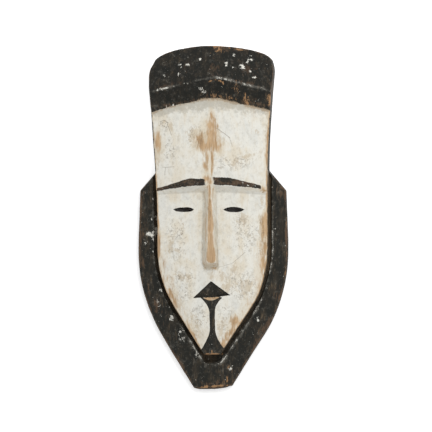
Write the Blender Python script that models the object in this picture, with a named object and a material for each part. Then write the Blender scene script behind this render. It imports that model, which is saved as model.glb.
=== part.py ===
"""A long face mask carved from one block of light wood and painted black and white.

It lies on its back: +X to the right, +Y towards the crown, +Z out of the face, back rim on z = 0.
The front is a grid of carved sections that run across the mask. From its edge, ribs run out over
the groove and the border and down to the back rim, and a second grid closes the hollow behind.
"""

import math

import bpy
import numpy as np

# Overall sizes, in metres
MASK_LENGTH = 0.600
MASK_DEPTH = 0.093
FACE_HALF_WIDTH = 0.0955
CREST_HALF_WIDTH = 0.110
CHIN_HALF_WIDTH = 0.014
BORDER_HALF_WIDTH = 0.131
SHOULDER_HALF_WIDTH = 0.1277
SOLE_HALF_WIDTH = 0.0315

# Rounding and slants of the outline: sizes in metres, and the powers that its curves follow
CROWN_RADIUS = 0.275
CROWN_CORNER = 0.032
CROWN_SQUARENESS = 14
HEAD_FLARE = 1.5
CHEEK_RADIUS = 0.200
BORDER_RADIUS = 0.280
SHOULDER_DROP = 0.0345
SOLE_SLANT = 0.0055

# Groove and border round the face: widths and heights above the back rim, in metres
GROOVE_WIDTH = 0.0035
GROOVE_HEIGHT = 0.017
FACE_WALL_LEAN = 0.001
BEVEL_WIDTH_AT_CHEEK = 0.0045
BEVEL_WIDTH_AT_CHIN = 0.0105
ARRIS_HEIGHT = 0.029
BORDER_HEIGHT = 0.022
EDGE_CHAMFER = 0.0025
NARROW_BORDER_SHARE = 0.7  # of a border too narrow for groove and bevel, what they take
BARE_WALL_STEPS = (0.85, 0.65, 0.5, 0.35, 0.2)  # heights down the head's wall, where there is no border

# Walls left by the hollow, in metres, and the powers that shape its vault
FRONT_WALL = 0.012
SIDE_WALL = 0.0155
ROOF_SMOOTHING = 0.022
VAULT_SIDES = 4
VAULT_ENDS = 12
VAULT_ROUNDNESS = 0.45

# Nose, in metres
NOSE_ROOT_DROP = 0.011
NOSE_END_LENGTH = 0.014
NOSE_RIDGE_AT_ROOT = 0.0032
NOSE_RIDGE_AT_TIP = 0.0065
NOSE_FLANK_AT_ROOT = 0.0075
NOSE_FLANK_AT_TIP = 0.0080

# Eye slits, in metres
EYE_HALF_LENGTH = 0.0172
EYE_HALF_HEIGHT = 0.0041
EYE_POINTEDNESS = 1.7
LEFT_EYE_X = -0.0475
RIGHT_EYE_X = 0.0400

# Mouth, in metres, and its tilt in degrees
MOUTH_HALF_WIDTH = 0.0315
MOUTH_HEIGHT = 0.026
MOUTH_DEPTH = 0.0065
LIP_HALF_WIDTH = 0.0157
LIP_DROP = 0.0065
MOUTH_TILT = 4.5

# Places along the mask, as shares of its half length from the middle towards the crown
HALF_LENGTH = MASK_LENGTH / 2
CORNER_LINE = 0.810
SHOULDER_LINE = 0.273
BROW_LINE = 0.190
EYE_LINE = 0.048
FULL_WIDTH_LINE = -0.130
TIP_LINE = -0.263
END_LINE = TIP_LINE - NOSE_END_LENGTH / HALF_LENGTH
CHEEK_KNEE = -0.363
BORDER_KNEE = -0.460
MOUTH_LINE = -0.460
HOLLOW_LINE = -0.683
CHIN_LINE = -0.795

# The carved sections, from crown to chin. Each is its middle's place and its edge's place along
# the mask, how the line between them bends, its middle's height and its edge's height as shares
# of the depth, and how the surface between them bends.
CROWN = (1.000, 0.917, 2.0, 0.56, 0.41, 1.8)
CREST = (0.823, 0.737, 1.1, 0.99, 0.71, 1.2)
HAIRLINE = (0.693, 0.625, 1.3, 0.76, 0.58, 1.7)
FOREHEAD = (0.467, 0.415, 1.6, 0.87, 0.64, 2.2)
TEMPLE = (0.310, SHOULDER_LINE, 1.6, 0.89, 0.66, 2.3)
BROW = (BROW_LINE, 0.163, 1.6, 0.88, 0.65, 2.3)
SOCKET = (0.150, 0.135, 1.6, 0.69, 0.54, 2.2)
EYES = (EYE_LINE, EYE_LINE, 1.0, 0.67, 0.53, 2.2)
NOSE_TIP = (TIP_LINE, TIP_LINE, 1.0, 0.72, 0.52, 2.0)
NOSE_END = (END_LINE, END_LINE, 1.0, 0.72, 0.52, 2.0)
MOUTH = (MOUTH_LINE, MOUTH_LINE, 1.0, 0.72, 0.52, 2.0)
CHIN = (CHIN_LINE, CHIN_LINE, 1.0, 0.64, 0.56, 1.4)

# Sections between two arrises are joined by one smooth curve, with so many rows of faces between
# each section and the next
SMOOTH_RUNS = (
    (CROWN, CREST),
    (CREST, HAIRLINE),
    (HAIRLINE, FOREHEAD, TEMPLE, BROW),
    (BROW, SOCKET),
    (SOCKET, EYES, NOSE_TIP, NOSE_END, MOUTH, CHIN),
)
ROW_COUNTS = ((6,), (3,), (4, 3, 4), (2,), (3, 6, 1, 4, 9))

COLUMNS = (8, 2, 1)  # from the edge to the nose's foot, up its flank, and to its middle line
EYE_POINTS = 8  # along one side of a slit
LIP_POINTS = 6

BLACK_PAINT = (0.032, 0.030, 0.026, 1)
WHITE_PAINT = (0.730, 0.720, 0.670, 1)
BARE_WOOD = (0.420, 0.270, 0.140, 1)


def smooth_rows(run, row_counts):
    """Rows of one run: a cubic through its sections, each row the six numbers of a section."""
    knots = np.array(run)
    down = -knots[:, 0]
    slopes = np.gradient(knots, down, axis=0)
    rows = [knots[0]]
    for k, row_count in enumerate(row_counts):
        gap = down[k + 1] - down[k]
        for t in np.linspace(0, 1, row_count + 1)[1:]:
            rows.append(
                (2 * t**3 - 3 * t**2 + 1) * knots[k]
                + (3 * t**2 - 2 * t**3) * knots[k + 1]
                + (t**3 - 2 * t**2 + t) * gap * slopes[k]
                + (t**3 - t**2) * gap * slopes[k + 1]
            )
    return rows


def carved_rows():
    """Every row from crown to chin: middle y, edge y, line bend, middle z, edge z, surface bend."""
    runs = [smooth_rows(run, counts) for run, counts in zip(SMOOTH_RUNS, ROW_COUNTS)]
    rows = np.vstack(runs[:1] + [run[1:] for run in runs[1:]])
    return rows * (HALF_LENGTH, HALF_LENGTH, 1, MASK_DEPTH, MASK_DEPTH, 1)


def kneed_side(y, side, foot, knee_y, foot_y, radius):
    """Half-width of a side that falls straight, turns inwards on an arc and runs on to the foot."""
    slope = (side - foot) / (knee_y - foot_y)
    turn = math.atan(slope)
    arc_top = knee_y + radius * math.tan(turn / 2)
    arc_low = arc_top - radius * math.sin(turn)
    on_arc = side - radius + math.sqrt(max(radius**2 - (arc_top - y) ** 2, 0))
    if y > arc_top:
        return side
    return on_arc if y > arc_low else foot + slope * (y - foot_y)


def face_half_width(y):
    """Half-width of the face, and above it of the head, at y."""
    corner_y = CORNER_LINE * HALF_LENGTH
    if y < 0:
        return kneed_side(y, FACE_HALF_WIDTH, CHIN_HALF_WIDTH, CHEEK_KNEE * HALF_LENGTH,
                          CHIN_LINE * HALF_LENGTH, CHEEK_RADIUS)
    flare = (CREST_HALF_WIDTH - FACE_HALF_WIDTH) * min(y / corner_y, 1) ** HEAD_FLARE
    corner = CROWN_CORNER / 4 * (max(y - corner_y, 0) / CROWN_CORNER) ** 3
    return FACE_HALF_WIDTH + flare - corner


def border_half_width(y):
    """Half-width of the border's outline at y, from the shoulders down."""
    shoulder_y = SHOULDER_LINE * HALF_LENGTH
    corner_y = shoulder_y - SHOULDER_DROP
    full_y = FULL_WIDTH_LINE * HALF_LENGTH
    if y > full_y:
        ends = (BORDER_HALF_WIDTH, SHOULDER_HALF_WIDTH, face_half_width(shoulder_y))
        return np.interp(y, (full_y, corner_y, shoulder_y), ends)
    return kneed_side(y, BORDER_HALF_WIDTH, SOLE_HALF_WIDTH, BORDER_KNEE * HALF_LENGTH,
                      -HALF_LENGTH, BORDER_RADIUS)


def nose_widths(y):
    """Half-widths of the nose's flat ridge and of its foot, or of the columns that go on from it."""
    places = np.array((CHIN_LINE, MOUTH_LINE, TIP_LINE, BROW_LINE, 1)) * HALF_LENGTH
    ridge = (CHIN_HALF_WIDTH / 5, NOSE_RIDGE_AT_TIP, NOSE_RIDGE_AT_TIP, NOSE_RIDGE_AT_ROOT, NOSE_RIDGE_AT_TIP)
    flank = (CHIN_HALF_WIDTH / 4, NOSE_FLANK_AT_TIP, NOSE_FLANK_AT_TIP, NOSE_FLANK_AT_ROOT, NOSE_FLANK_AT_TIP)
    ridge_here = np.interp(y, places, ridge)
    return ridge_here, ridge_here + np.interp(y, places, flank)


def nose_height(y):
    """Height of the nose's ridge above the back rim at y, or zero clear of the nose."""
    root_y, tip_y, end_y = np.array((BROW_LINE, TIP_LINE, END_LINE)) * HALF_LENGTH
    heights = (0, MASK_DEPTH, MASK_DEPTH - NOSE_ROOT_DROP, 0)
    return np.interp(y, (end_y, tip_y, root_y, root_y + NOSE_ROOT_DROP), heights)


def column_shares(ridge, foot):
    """Places of one row's columns, as shares of its half-width from left edge to right edge."""
    outer, flank, top = COLUMNS
    right = np.concatenate([
        np.linspace(0, ridge, top + 1)[:-1],
        np.linspace(ridge, foot, flank + 1)[:-1],
        np.linspace(foot, 1, outer + 1),
    ])
    return np.concatenate([-right[:0:-1], right])


def front_grid(rows):
    """Points of the carved front and each point's share of the half-width."""
    points, shares = [], []
    for y_middle, y_edge, line_bend, z_middle, z_edge, surface_bend in rows:
        half_width = face_half_width(y_edge)
        ridge, foot = nose_widths(y_middle)
        share = column_shares(ridge / half_width, foot / half_width)
        reach = np.abs(share)
        y = y_middle + (y_edge - y_middle) * reach**line_bend
        z = z_middle + (z_edge - z_middle) * reach**surface_bend
        flank = np.clip((foot - reach * half_width) / (foot - ridge), 0, 1)
        z += np.maximum(nose_height(y_middle) - z, 0) * flank
        points.append(np.column_stack([share * half_width, y, z]))
        shares.append(share)
    points = np.array(points)
    points[0, :, 1] = crown_line(points[0, :, 0])
    return points, np.array(shares)


def crown_line(x):
    """The crown's top edge: a flat arc that rounds over into the corners."""
    share = x / x.max()
    arc = HALF_LENGTH - x**2 / (2 * CROWN_RADIUS)
    corner_drop = arc[-1] - CROWN[1] * HALF_LENGTH
    return arc - corner_drop * share**CROWN_SQUARENESS


def hollow_grid(rows, front, shares):
    """Points of the hollow: a smooth vault that stays behind the front by its wall."""
    middle_y, middle_z = rows[:, 0], rows[:, 3]
    apart = np.abs(middle_y[:, None] - middle_y)
    lowest = np.where(apart < 2 * ROOF_SMOOTHING, middle_z, MASK_DEPTH).min(axis=1)
    roof = np.average(np.tile(lowest, (len(lowest), 1)), axis=1, weights=apart < ROOF_SMOOTHING)
    roof -= FRONT_WALL
    crown_y, chin_y = front[0, :, 1], CHIN_LINE * HALF_LENGTH
    down = (crown_y - front[:, :, 1]) / (crown_y - chin_y)
    top_y, low_y = crown_y - SIDE_WALL, HOLLOW_LINE * HALF_LENGTH
    y = top_y + (low_y - top_y) * down
    half_width = np.vectorize(face_half_width)(y) - SIDE_WALL
    vault = (1 - np.abs(shares) ** VAULT_SIDES) * (1 - np.abs(2 * down - 1) ** VAULT_ENDS)
    z = roof[:, None] * np.clip(vault, 0, 1) ** VAULT_ROUNDNESS
    return np.dstack([shares * half_width, y, z])


def outer_point(x, y):
    """The place on the border's outline that the face's edge point at x, y runs out to."""
    chin_y = CHIN_LINE * HALF_LENGTH
    start_y = EYE_LINE * HALF_LENGTH
    if abs(x) < CHIN_HALF_WIDTH and y < start_y:
        across = x / CHIN_HALF_WIDTH
        return across * SOLE_HALF_WIDTH, -HALF_LENGTH + SOLE_SLANT * (across + 1) / 2
    if y > SHOULDER_LINE * HALF_LENGTH:
        return x, y
    down = np.clip((start_y - y) / (start_y - chin_y), 0, 1)
    foot_y = -HALF_LENGTH + (SOLE_SLANT if x > 0 else 0)
    outer_y = y - (chin_y - foot_y) * down**2
    return math.copysign(border_half_width(outer_y), x), outer_y


def rib(edge):
    """Points from one point of the face's edge over groove and border, and down to the back rim."""
    x, y, z = edge
    outer_x, outer_y = outer_point(x, y)
    width = math.hypot(outer_x - x, outer_y - y)
    down = np.clip(y / (CHIN_LINE * HALF_LENGTH), 0, 1)
    bevel = BEVEL_WIDTH_AT_CHEEK + (BEVEL_WIDTH_AT_CHIN - BEVEL_WIDTH_AT_CHEEK) * down
    arris = GROOVE_WIDTH + bevel
    formed = min(1, NARROW_BORDER_SHARE * width / arris)
    reach = np.array((FACE_WALL_LEAN, GROOVE_WIDTH, arris, -EDGE_CHAMFER, 0)) * formed
    reach[3:] += width
    wall = z * np.array(BARE_WALL_STEPS)
    rim_height = BORDER_HEIGHT - EDGE_CHAMFER
    border = np.array((GROOVE_HEIGHT, GROOVE_HEIGHT, ARRIS_HEIGHT, BORDER_HEIGHT, rim_height))
    height = wall + (border - wall) * formed
    along = reach / max(width, EDGE_CHAMFER)
    over = np.column_stack([x + (outer_x - x) * along, y + (outer_y - y) * along, height])
    return np.vstack([over, (outer_x, outer_y, 0)])


def edge_loop(rows, columns):
    """Grid places round the edge, anticlockwise from the crown's left corner."""
    left = [(r, 0) for r in range(rows - 1)]
    low = [(rows - 1, c) for c in range(columns - 1)]
    right = [(r, columns - 1) for r in range(rows - 1, 0, -1)]
    top = [(0, c) for c in range(columns - 1, 0, -1)]
    return left + low + right + top


def mask_mesh():
    """Vertices of the whole mask, and its quads by what they are painted."""
    rows = carved_rows()
    front, shares = front_grid(rows)
    hollow = hollow_grid(rows, front, shares)
    row_count, column_count = shares.shape
    loop = edge_loop(row_count, column_count)
    ribs = [rib(front[place]) for place in loop]
    grid_size, rib_size = shares.size, len(ribs[0])
    vertices = np.vstack([front.reshape(-1, 3), hollow.reshape(-1, 3), *ribs])

    black, white, bare = [], [], []
    crest_rows = ROW_COUNTS[0][0] + ROW_COUNTS[1][0]
    for r in range(row_count - 1):
        for c in range(column_count - 1):
            a = r * column_count + c
            d = a + column_count
            (black if r < crest_rows else white).append((a, d, d + 1, a + 1))
            bare.append((grid_size + a, grid_size + a + 1, grid_size + d + 1, grid_size + d))

    chains = []
    for i, (r, c) in enumerate(loop):
        front_index = r * column_count + c
        first = 2 * grid_size + i * rib_size
        chains.append([front_index, *range(first, first + rib_size), grid_size + front_index])
    for here, there in zip(chains, chains[1:] + chains[:1]):
        for k in range(rib_size + 1):
            target = bare if k == rib_size else black
            target.append((here[k], here[k + 1], there[k + 1], there[k]))
    return vertices, black, white, bare


def paint(name, colour, roughness):
    """A Principled material of one colour."""
    material = bpy.data.materials.new(name)
    material.use_nodes = True
    shader = material.node_tree.nodes["Principled BSDF"]
    shader.inputs["Base Color"].default_value = colour
    shader.inputs["Roughness"].default_value = roughness
    shader.inputs["Metallic"].default_value = 0.0
    return material


def add_object(name, vertices, faces):
    """A mesh object in the scene."""
    mesh = bpy.data.meshes.new(name)
    mesh.from_pydata([tuple(v) for v in vertices], [], faces)
    mesh.validate()
    item = bpy.data.objects.new(name, mesh)
    bpy.context.scene.collection.objects.link(item)
    return item


def prism(low_ring, high_ring):
    """Vertices and faces of a closed prism between two rings, both anticlockwise from above."""
    count = len(low_ring)
    sides = [(k, (k + 1) % count, count + (k + 1) % count, count + k) for k in range(count)]
    caps = [tuple(range(count - 1, -1, -1)), tuple(range(count, 2 * count))]
    return [*low_ring, *high_ring], sides + caps


def eye_cutter(name, centre_x):
    """An almond-shaped prism that goes through the face at one eye."""
    along = np.linspace(-1, 1, EYE_POINTS + 1)
    half_height = EYE_HALF_HEIGHT * (1 - np.abs(along) ** EYE_POINTEDNESS)
    x = centre_x + EYE_HALF_LENGTH * np.concatenate([along, along[-2:0:-1]])
    y = EYE_LINE * HALF_LENGTH + np.concatenate([-half_height, half_height[-2:0:-1]])
    behind = EYES[4] * MASK_DEPTH - 3 * FRONT_WALL
    rings = [np.column_stack([x, y, np.full(len(x), z)]) for z in (behind, MASK_DEPTH)]
    return add_object(name, *prism(*rings))


def mouth_cutter(rows):
    """A chip-cut triangle, deepest in the middle of its base, with the lip's crescent below it."""
    lip_x = np.linspace(-LIP_HALF_WIDTH, LIP_HALF_WIDTH, LIP_POINTS + 1)
    lip_y = -LIP_DROP * (1 - (lip_x / LIP_HALF_WIDTH) ** 2)
    x = np.array([0, -MOUTH_HALF_WIDTH, *lip_x, MOUTH_HALF_WIDTH])
    y = np.array([MOUTH_HEIGHT, 0, *lip_y, 0])
    turn = math.radians(MOUTH_TILT)
    centre_y = MOUTH_LINE * HALF_LENGTH
    ring_x = x * math.cos(turn) - y * math.sin(turn)
    ring_y = centre_y + x * math.sin(turn) + y * math.cos(turn)
    middle_z = np.interp(-ring_y, -rows[:, 0], rows[:, 3])
    edge_z = np.interp(-ring_y, -rows[:, 0], rows[:, 4])
    half_width = np.array([face_half_width(value) for value in ring_y])
    ring_z = middle_z + (edge_z - middle_z) * np.abs(ring_x / half_width) ** MOUTH[5]
    ring = np.column_stack([ring_x, ring_y, ring_z])
    raised = ring + (0, 0, FRONT_WALL)
    count = len(ring)
    deepest = (0, centre_y, MOUTH[3] * MASK_DEPTH - MOUTH_DEPTH)
    vertices, faces = prism(ring, raised)
    faces.remove(tuple(range(count - 1, -1, -1)))
    faces += [(k, 2 * count, (k + 1) % count) for k in range(count)]
    return add_object("mouth_cutter", [*vertices, deepest], faces)


def cut(item, cutter):
    """Takes the cutter's shape out of the item and hides the cutter."""
    cutter.display_type = "WIRE"
    cutter.hide_render = True
    boolean = item.modifiers.new(cutter.name, "BOOLEAN")
    boolean.operation = "DIFFERENCE"
    boolean.solver = "EXACT"
    boolean.object = cutter


def build_mask():
    """The mask as one solid, with its paint and its cuts."""
    vertices, black, white, bare = mask_mesh()
    mask = add_object("mask", vertices, black + white + bare)
    mesh = mask.data
    mesh.materials.append(paint("black_paint", BLACK_PAINT, 0.65))
    mesh.materials.append(paint("white_paint", WHITE_PAINT, 0.75))
    mesh.materials.append(paint("bare_wood", BARE_WOOD, 0.80))
    slots = [0] * len(black) + [1] * len(white) + [2] * len(bare)
    mesh.polygons.foreach_set("material_index", slots)
    mesh.shade_smooth()
    mesh.set_sharp_from_angle(angle=math.radians(25))
    cut(mask, eye_cutter("left_eye_cutter", LEFT_EYE_X))
    cut(mask, eye_cutter("right_eye_cutter", RIGHT_EYE_X))
    cut(mask, mouth_cutter(carved_rows()))


for old in list(bpy.data.objects):
    bpy.data.objects.remove(old)
build_mask()
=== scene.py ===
import math

import bpy
import numpy as np
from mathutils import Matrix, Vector, kdtree, noise


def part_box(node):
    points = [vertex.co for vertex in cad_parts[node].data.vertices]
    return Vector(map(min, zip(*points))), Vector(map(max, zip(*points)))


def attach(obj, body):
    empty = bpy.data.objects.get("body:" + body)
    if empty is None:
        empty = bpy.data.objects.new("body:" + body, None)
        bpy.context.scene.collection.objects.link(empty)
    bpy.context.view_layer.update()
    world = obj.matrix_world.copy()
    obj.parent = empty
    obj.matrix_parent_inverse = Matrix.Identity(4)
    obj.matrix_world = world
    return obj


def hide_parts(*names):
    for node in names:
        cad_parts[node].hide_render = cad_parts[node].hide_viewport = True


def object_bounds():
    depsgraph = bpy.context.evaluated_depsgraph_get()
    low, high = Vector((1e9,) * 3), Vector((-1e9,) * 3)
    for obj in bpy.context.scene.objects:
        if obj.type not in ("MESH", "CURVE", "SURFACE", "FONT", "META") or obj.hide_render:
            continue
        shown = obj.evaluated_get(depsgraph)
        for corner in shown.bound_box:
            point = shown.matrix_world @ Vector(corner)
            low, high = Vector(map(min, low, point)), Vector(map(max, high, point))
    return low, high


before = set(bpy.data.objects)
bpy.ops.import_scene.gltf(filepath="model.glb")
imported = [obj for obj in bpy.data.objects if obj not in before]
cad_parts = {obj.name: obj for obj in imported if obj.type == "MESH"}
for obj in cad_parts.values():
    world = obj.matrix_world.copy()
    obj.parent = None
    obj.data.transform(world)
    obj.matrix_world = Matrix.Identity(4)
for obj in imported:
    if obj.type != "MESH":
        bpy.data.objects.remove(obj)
cadBox = [list(corner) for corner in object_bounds()]
lowCorner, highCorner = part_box("mask")
halfLength = (highCorner.y - lowCorner.y) / 2
halfWidth = (highCorner.x - lowCorner.x) / 2
depth = highCorner.z
mm = 0.001
print("frame loaded:", round(halfLength * 2 / mm), "mm long,", round(depth / mm), "mm deep")

# Camera: above the mask, tilted a little towards its right side

viewSettings = {
    "tilt": 4.0,  # degrees
    "distance": 12.0,
    "pictureWidth": 0.7556,  # what the picture takes in across, at the border's height
    "aim": (0.0054, 0.0030, 0.022),
    "sensor": 36.0,
}


def placeCamera(s):
    lens = bpy.data.cameras.new("photoCamera")
    lens.sensor_width = s["sensor"]
    lens.lens = s["sensor"] * s["distance"] / s["pictureWidth"]
    camera = bpy.data.objects.new("photoCamera", lens)
    tilt = math.radians(s["tilt"])
    back = Vector((math.sin(tilt), 0, math.cos(tilt)))
    camera.location = Vector(s["aim"]) + back * s["distance"]
    camera.rotation_euler = (0, tilt, 0)
    bpy.context.scene.collection.objects.link(camera)
    bpy.context.scene.camera = camera


placeCamera(viewSettings)

# Light: a white room, and one large soft lamp from the upper right

lightSettings = {
    "roomColour": (1.0, 1.0, 1.0, 1),
    "roomStrength": 0.70,
    "lampPlace": (0.65, 0.75, 2.2),
    "lampAim": (0.0, 0.0, 0.0),
    "lampSize": 1.2,
    "lampPower": 24.0,
    "floorSize": 12.0,
    "floorColour": (0.93, 0.93, 0.93, 1),
    "floorRoughness": 0.9,
    "floorGlow": (0.40, 0.60),  # the floor glows a little, more so beside the head, which lightens the shadows cast on it there
    "glowRise": (0.0, 0.12),
    "unlitFloor": (0.105, 0.245),  # but not under the mask: half-width and half-length
    "unlitEdge": (0.9, 1.05),
}


def lightRoom(s):
    world = bpy.data.worlds.new("whiteRoom")
    world.use_nodes = True
    world.node_tree.nodes["Background"].inputs["Color"].default_value = s["roomColour"]
    world.node_tree.nodes["Background"].inputs["Strength"].default_value = s["roomStrength"]
    bpy.context.scene.world = world
    lamp = bpy.data.lights.new("softLamp", "AREA")
    lamp.size = s["lampSize"]
    lamp.energy = s["lampPower"]
    holder = bpy.data.objects.new("softLamp", lamp)
    holder.location = s["lampPlace"]
    aim = Vector(s["lampAim"]) - Vector(s["lampPlace"])
    holder.rotation_euler = aim.to_track_quat("-Z", "Y").to_euler()
    bpy.context.scene.collection.objects.link(holder)


lightRoom(lightSettings)
bpy.context.scene.view_settings.view_transform = "Standard"
print("camera and light placed")

# Outline and sections of the carving, in metres or as shares of half the length and of the depth

outline = {
    "faceHalfWidth": 0.0955,
    "crestHalfWidth": 0.110,
    "chinHalfWidth": 0.014,
    "shoulderHalfWidth": 0.1277,
    "soleHalfWidth": 0.0307,
    "crownRadius": (0.262, 0.318),  # of its left and its right half
    "crownCorner": 0.032,
    "crownSquareness": (12, 14),
    "headFlare": 1.5,
    "cheekRadius": 0.200,
    "borderRadius": 0.280,
    "shoulderDrop": 0.0345,
    "soleSlant": 0.0038,
    "soleCorner": 0.0020,
    "soleSlantStart": 0.2,  # left of the sole's middle, as a share of its half-width
    "soleSlantBend": 1.6,
    "soleSquareness": 6,
    "soleShift": -0.0014,  # the border's foot stands a little to the left
    "soleShiftStart": 0.015,  # above the hollow's end
    "soleShiftLength": 0.045,
    # how far each side of the face strays outwards, at places up the mask
    "strayPlaces": (-0.24, -0.18, -0.14, -0.10, 0.02, 0.08, 0.14, 0.22, 0.243, 0.262, 0.269, 0.276),
    "leftStray": (0.0, 0.0, 0.0, 0.0, 0.0, 0.0, 0.0010, 0.0005, 0.0, -0.0006, -0.0009, -0.0013),
    "rightStray": (0.0, 0.0023, 0.0036, 0.0023, 0.0012, -0.0005, -0.0025, -0.0034, -0.0034, -0.0013,
                   0.0003, 0.0018),
}
cornerY = 0.810 * halfLength
shoulderY = 0.273 * halfLength
browY = 0.190 * halfLength
eyeY = 0.048 * halfLength
fullWidthY = -0.130 * halfLength
tipY = -0.263 * halfLength
cheekKneeY = -0.363 * halfLength
borderKneeY = -0.460 * halfLength
mouthY = -0.460 * halfLength
hollowEndY = -0.683 * halfLength
chinY = -0.795 * halfLength
noseEndLength = 0.0110
noseEndY = tipY - noseEndLength

# Each section: middle's and edge's place, how its line bends, middle's and edge's height, how its
# surface bends, and how far its peak stands to the right of the middle
sections = {
    "crown": (1.000, 0.917, 2.0, 0.56, 0.41, 1.6, 0.004),
    "crest": (0.818, 0.732, 1.1, 0.99, 0.71, 1.2, 0.008),
    "hairline": (0.693, 0.625, 1.3, 0.76, 0.58, 1.7, -0.002),
    "forehead": (0.467, 0.415, 1.6, 0.87, 0.64, 2.2, 0.0),
    "temple": (0.310, 0.273, 1.6, 0.89, 0.66, 2.3, 0.0),
    "brow": (0.190, 0.163, 1.6, 0.88, 0.65, 2.3, 0.0),
    "socket": (0.150, 0.135, 1.6, 0.69, 0.54, 2.2, 0.0),
    "eyes": (0.048, 0.048, 1.0, 0.67, 0.53, 2.2, 0.0),
    "noseTip": (-0.263, -0.263, 1.0, 0.72, 0.52, 2.0, 0.0),
    "noseEnd": (noseEndY / halfLength, noseEndY / halfLength, 1.0, 0.72, 0.52, 2.0, 0.0),
    "mouth": (-0.460, -0.460, 1.0, 0.72, 0.52, 2.0, 0.0),
    "chin": (-0.795, -0.795, 1.0, 0.64, 0.56, 1.4, 0.0),
}
smoothRuns = (
    ("crown", "crest"),
    ("crest", "hairline"),
    ("hairline", "forehead", "temple", "brow"),
    ("brow", "socket"),
    ("socket", "eyes", "noseTip", "noseEnd", "mouth", "chin"),
)

carving = {
    "rowStep": 0.00185,
    "outerColumns": 50,
    "flankColumns": 7,
    "ridgeColumns": 3,
    "edgeRadius": 0.0024,
    "edgeSteps": 4,
    "crownBlend": 0.020,  # over this length the crown's flat arc passes into the sections below
}

nose = {
    "rootDrop": 0.011,
    "rootFade": 0.011,
    "endRoundness": 0.0065,
    "endBend": 1.25,
    # from chin to crown: the ridge's and the foot's half-widths and their middles
    "places": (chinY, mouthY, noseEndY, tipY, browY, halfLength),
    "ridgeHalf": (0.0028, 0.0065, 0.0066, 0.0080, 0.0022, 0.0065),
    "footHalf": (0.0063, 0.0145, 0.0105, 0.0145, 0.0105, 0.0145),
    "ridgeMiddle": (0.0, 0.0, 0.0, 0.0022, -0.0017, 0.0),
    "footMiddle": (0.0, 0.0, -0.0010, -0.0020, -0.0020, 0.0),
}

border = {
    "grooveWidth": 0.0035,
    "grooveHeight": 0.017,
    "wallLean": 0.001,
    # how far the arris stands from the face, at shares of the way down to the chin
    "arrisPlaces": (0.15, 0.50, 0.80, 0.93, 1.0),
    "leftArris": (0.0078, 0.0072, 0.0088, 0.0100, 0.0112),
    "rightArris": (0.0070, 0.0058, 0.0098, 0.0106, 0.0112),
    "recessDepth": 0.0060,  # and how much farther below the chin
    "recessFloor": 0.0080,
    "arrisHeight": 0.029,
    "height": 0.022,
    "chamfer": 0.0025,
    "narrowShare": 0.7,
    "bareWallSteps": (0.85, 0.65, 0.5, 0.35, 0.2),
    "rimInset": 0.004,  # how far the ribs run in under the back rim
    # roundings at the wall's foot, groove, arris, outer edge (two) and back edge
    "radii": (0.0010, 0.0010, 0.0012, 0.0022, 0.0022, 0.0010),
    "spanSteps": (3, 1, 1, 7, 1, 3, 1),
    # how far the wear reaches from the arris, the outer edge and the back edge
    "arrisWear": 2.1 * mm,
    "outerWear": 3.2 * mm,
    "backWear": 3 * mm,
    "backWearShare": 0.8,
    # brown in the groove: how far it keeps off the arris, its share on the left, and how it thins
    # out down the mask
    "brownClear": 3.0 * mm,
    "brownTurn": 20 * mm,
    "brownLeft": 0.9,
    "brownFade": (2.8, 50 * mm),
    "brownLeast": (0.8, 0.4),  # left and right
    "leastFormed": 0.05,  # there is none where the border is hardly formed
}


def kneedSide(y, side, foot, kneeY, footY, radius):
    slope = (side - foot) / (kneeY - footY)
    turn = math.atan(slope)
    arcTop = kneeY + radius * math.tan(turn / 2)
    arcLow = arcTop - radius * math.sin(turn)
    onArc = side - radius + math.sqrt(max(radius**2 - (arcTop - y) ** 2, 0))
    if y > arcTop:
        return side
    return onArc if y > arcLow else foot + slope * (y - footY)


def faceHalfWidth(y):
    o = outline
    if y < 0:
        return kneedSide(y, o["faceHalfWidth"], o["chinHalfWidth"], cheekKneeY, chinY, o["cheekRadius"])
    flare = (o["crestHalfWidth"] - o["faceHalfWidth"]) * min(y / cornerY, 1) ** o["headFlare"]
    corner = o["crownCorner"] / 4 * (max(y - cornerY, 0) / o["crownCorner"]) ** 3
    return o["faceHalfWidth"] + flare - corner


# The face's edge at y on one side, -1 or 1, as an x
def faceEdge(y, side):
    stray = outline["leftStray"] if side < 0 else outline["rightStray"]
    return side * (faceHalfWidth(y) + np.interp(y, outline["strayPlaces"], stray))


def borderHalfWidth(y):
    o = outline
    if y > fullWidthY:
        cornerAt = shoulderY - o["shoulderDrop"]
        ends = (halfWidth, o["shoulderHalfWidth"], faceHalfWidth(shoulderY))
        return np.interp(y, (fullWidthY, cornerAt, shoulderY), ends)
    return kneedSide(y, halfWidth, o["soleHalfWidth"], borderKneeY, -halfLength, o["borderRadius"])


def smoothRows(names):
    knots = np.array([sections[name] for name in names])
    down = -knots[:, 0]
    slopes = np.gradient(knots, down, axis=0)
    rows = [knots[0]]
    for k in range(len(names) - 1):
        gap = down[k + 1] - down[k]
        rise = abs(knots[k + 1, 3] - knots[k, 3]) * depth
        count = max(2, round(math.hypot(gap * halfLength, rise) / carving["rowStep"]))
        steps = np.linspace(0, 1, count + 1)[1:]
        if names[k] == "crown":
            steps = np.concatenate([edgeEase() / (gap * halfLength), steps[1:]])
        if names[k + 1] == "chin":
            steps = np.concatenate([steps[:-2], 1 - edgeEase()[::-1] / (gap * halfLength), [1]])
        for t in steps:
            rows.append(
                (2 * t**3 - 3 * t**2 + 1) * knots[k]
                + (3 * t**2 - 2 * t**3) * knots[k + 1]
                + (t**3 - 2 * t**2 + t) * gap * slopes[k]
                + (t**3 - t**2) * gap * slopes[k + 1]
            )
    return rows


# Distances from an edge at which the rounding has its lines, nearest first
def edgeEase():
    turns = np.linspace(0, math.pi / 2, carving["edgeSteps"] + 1)[1:]
    return carving["edgeRadius"] * (1 - np.cos(turns))


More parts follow.
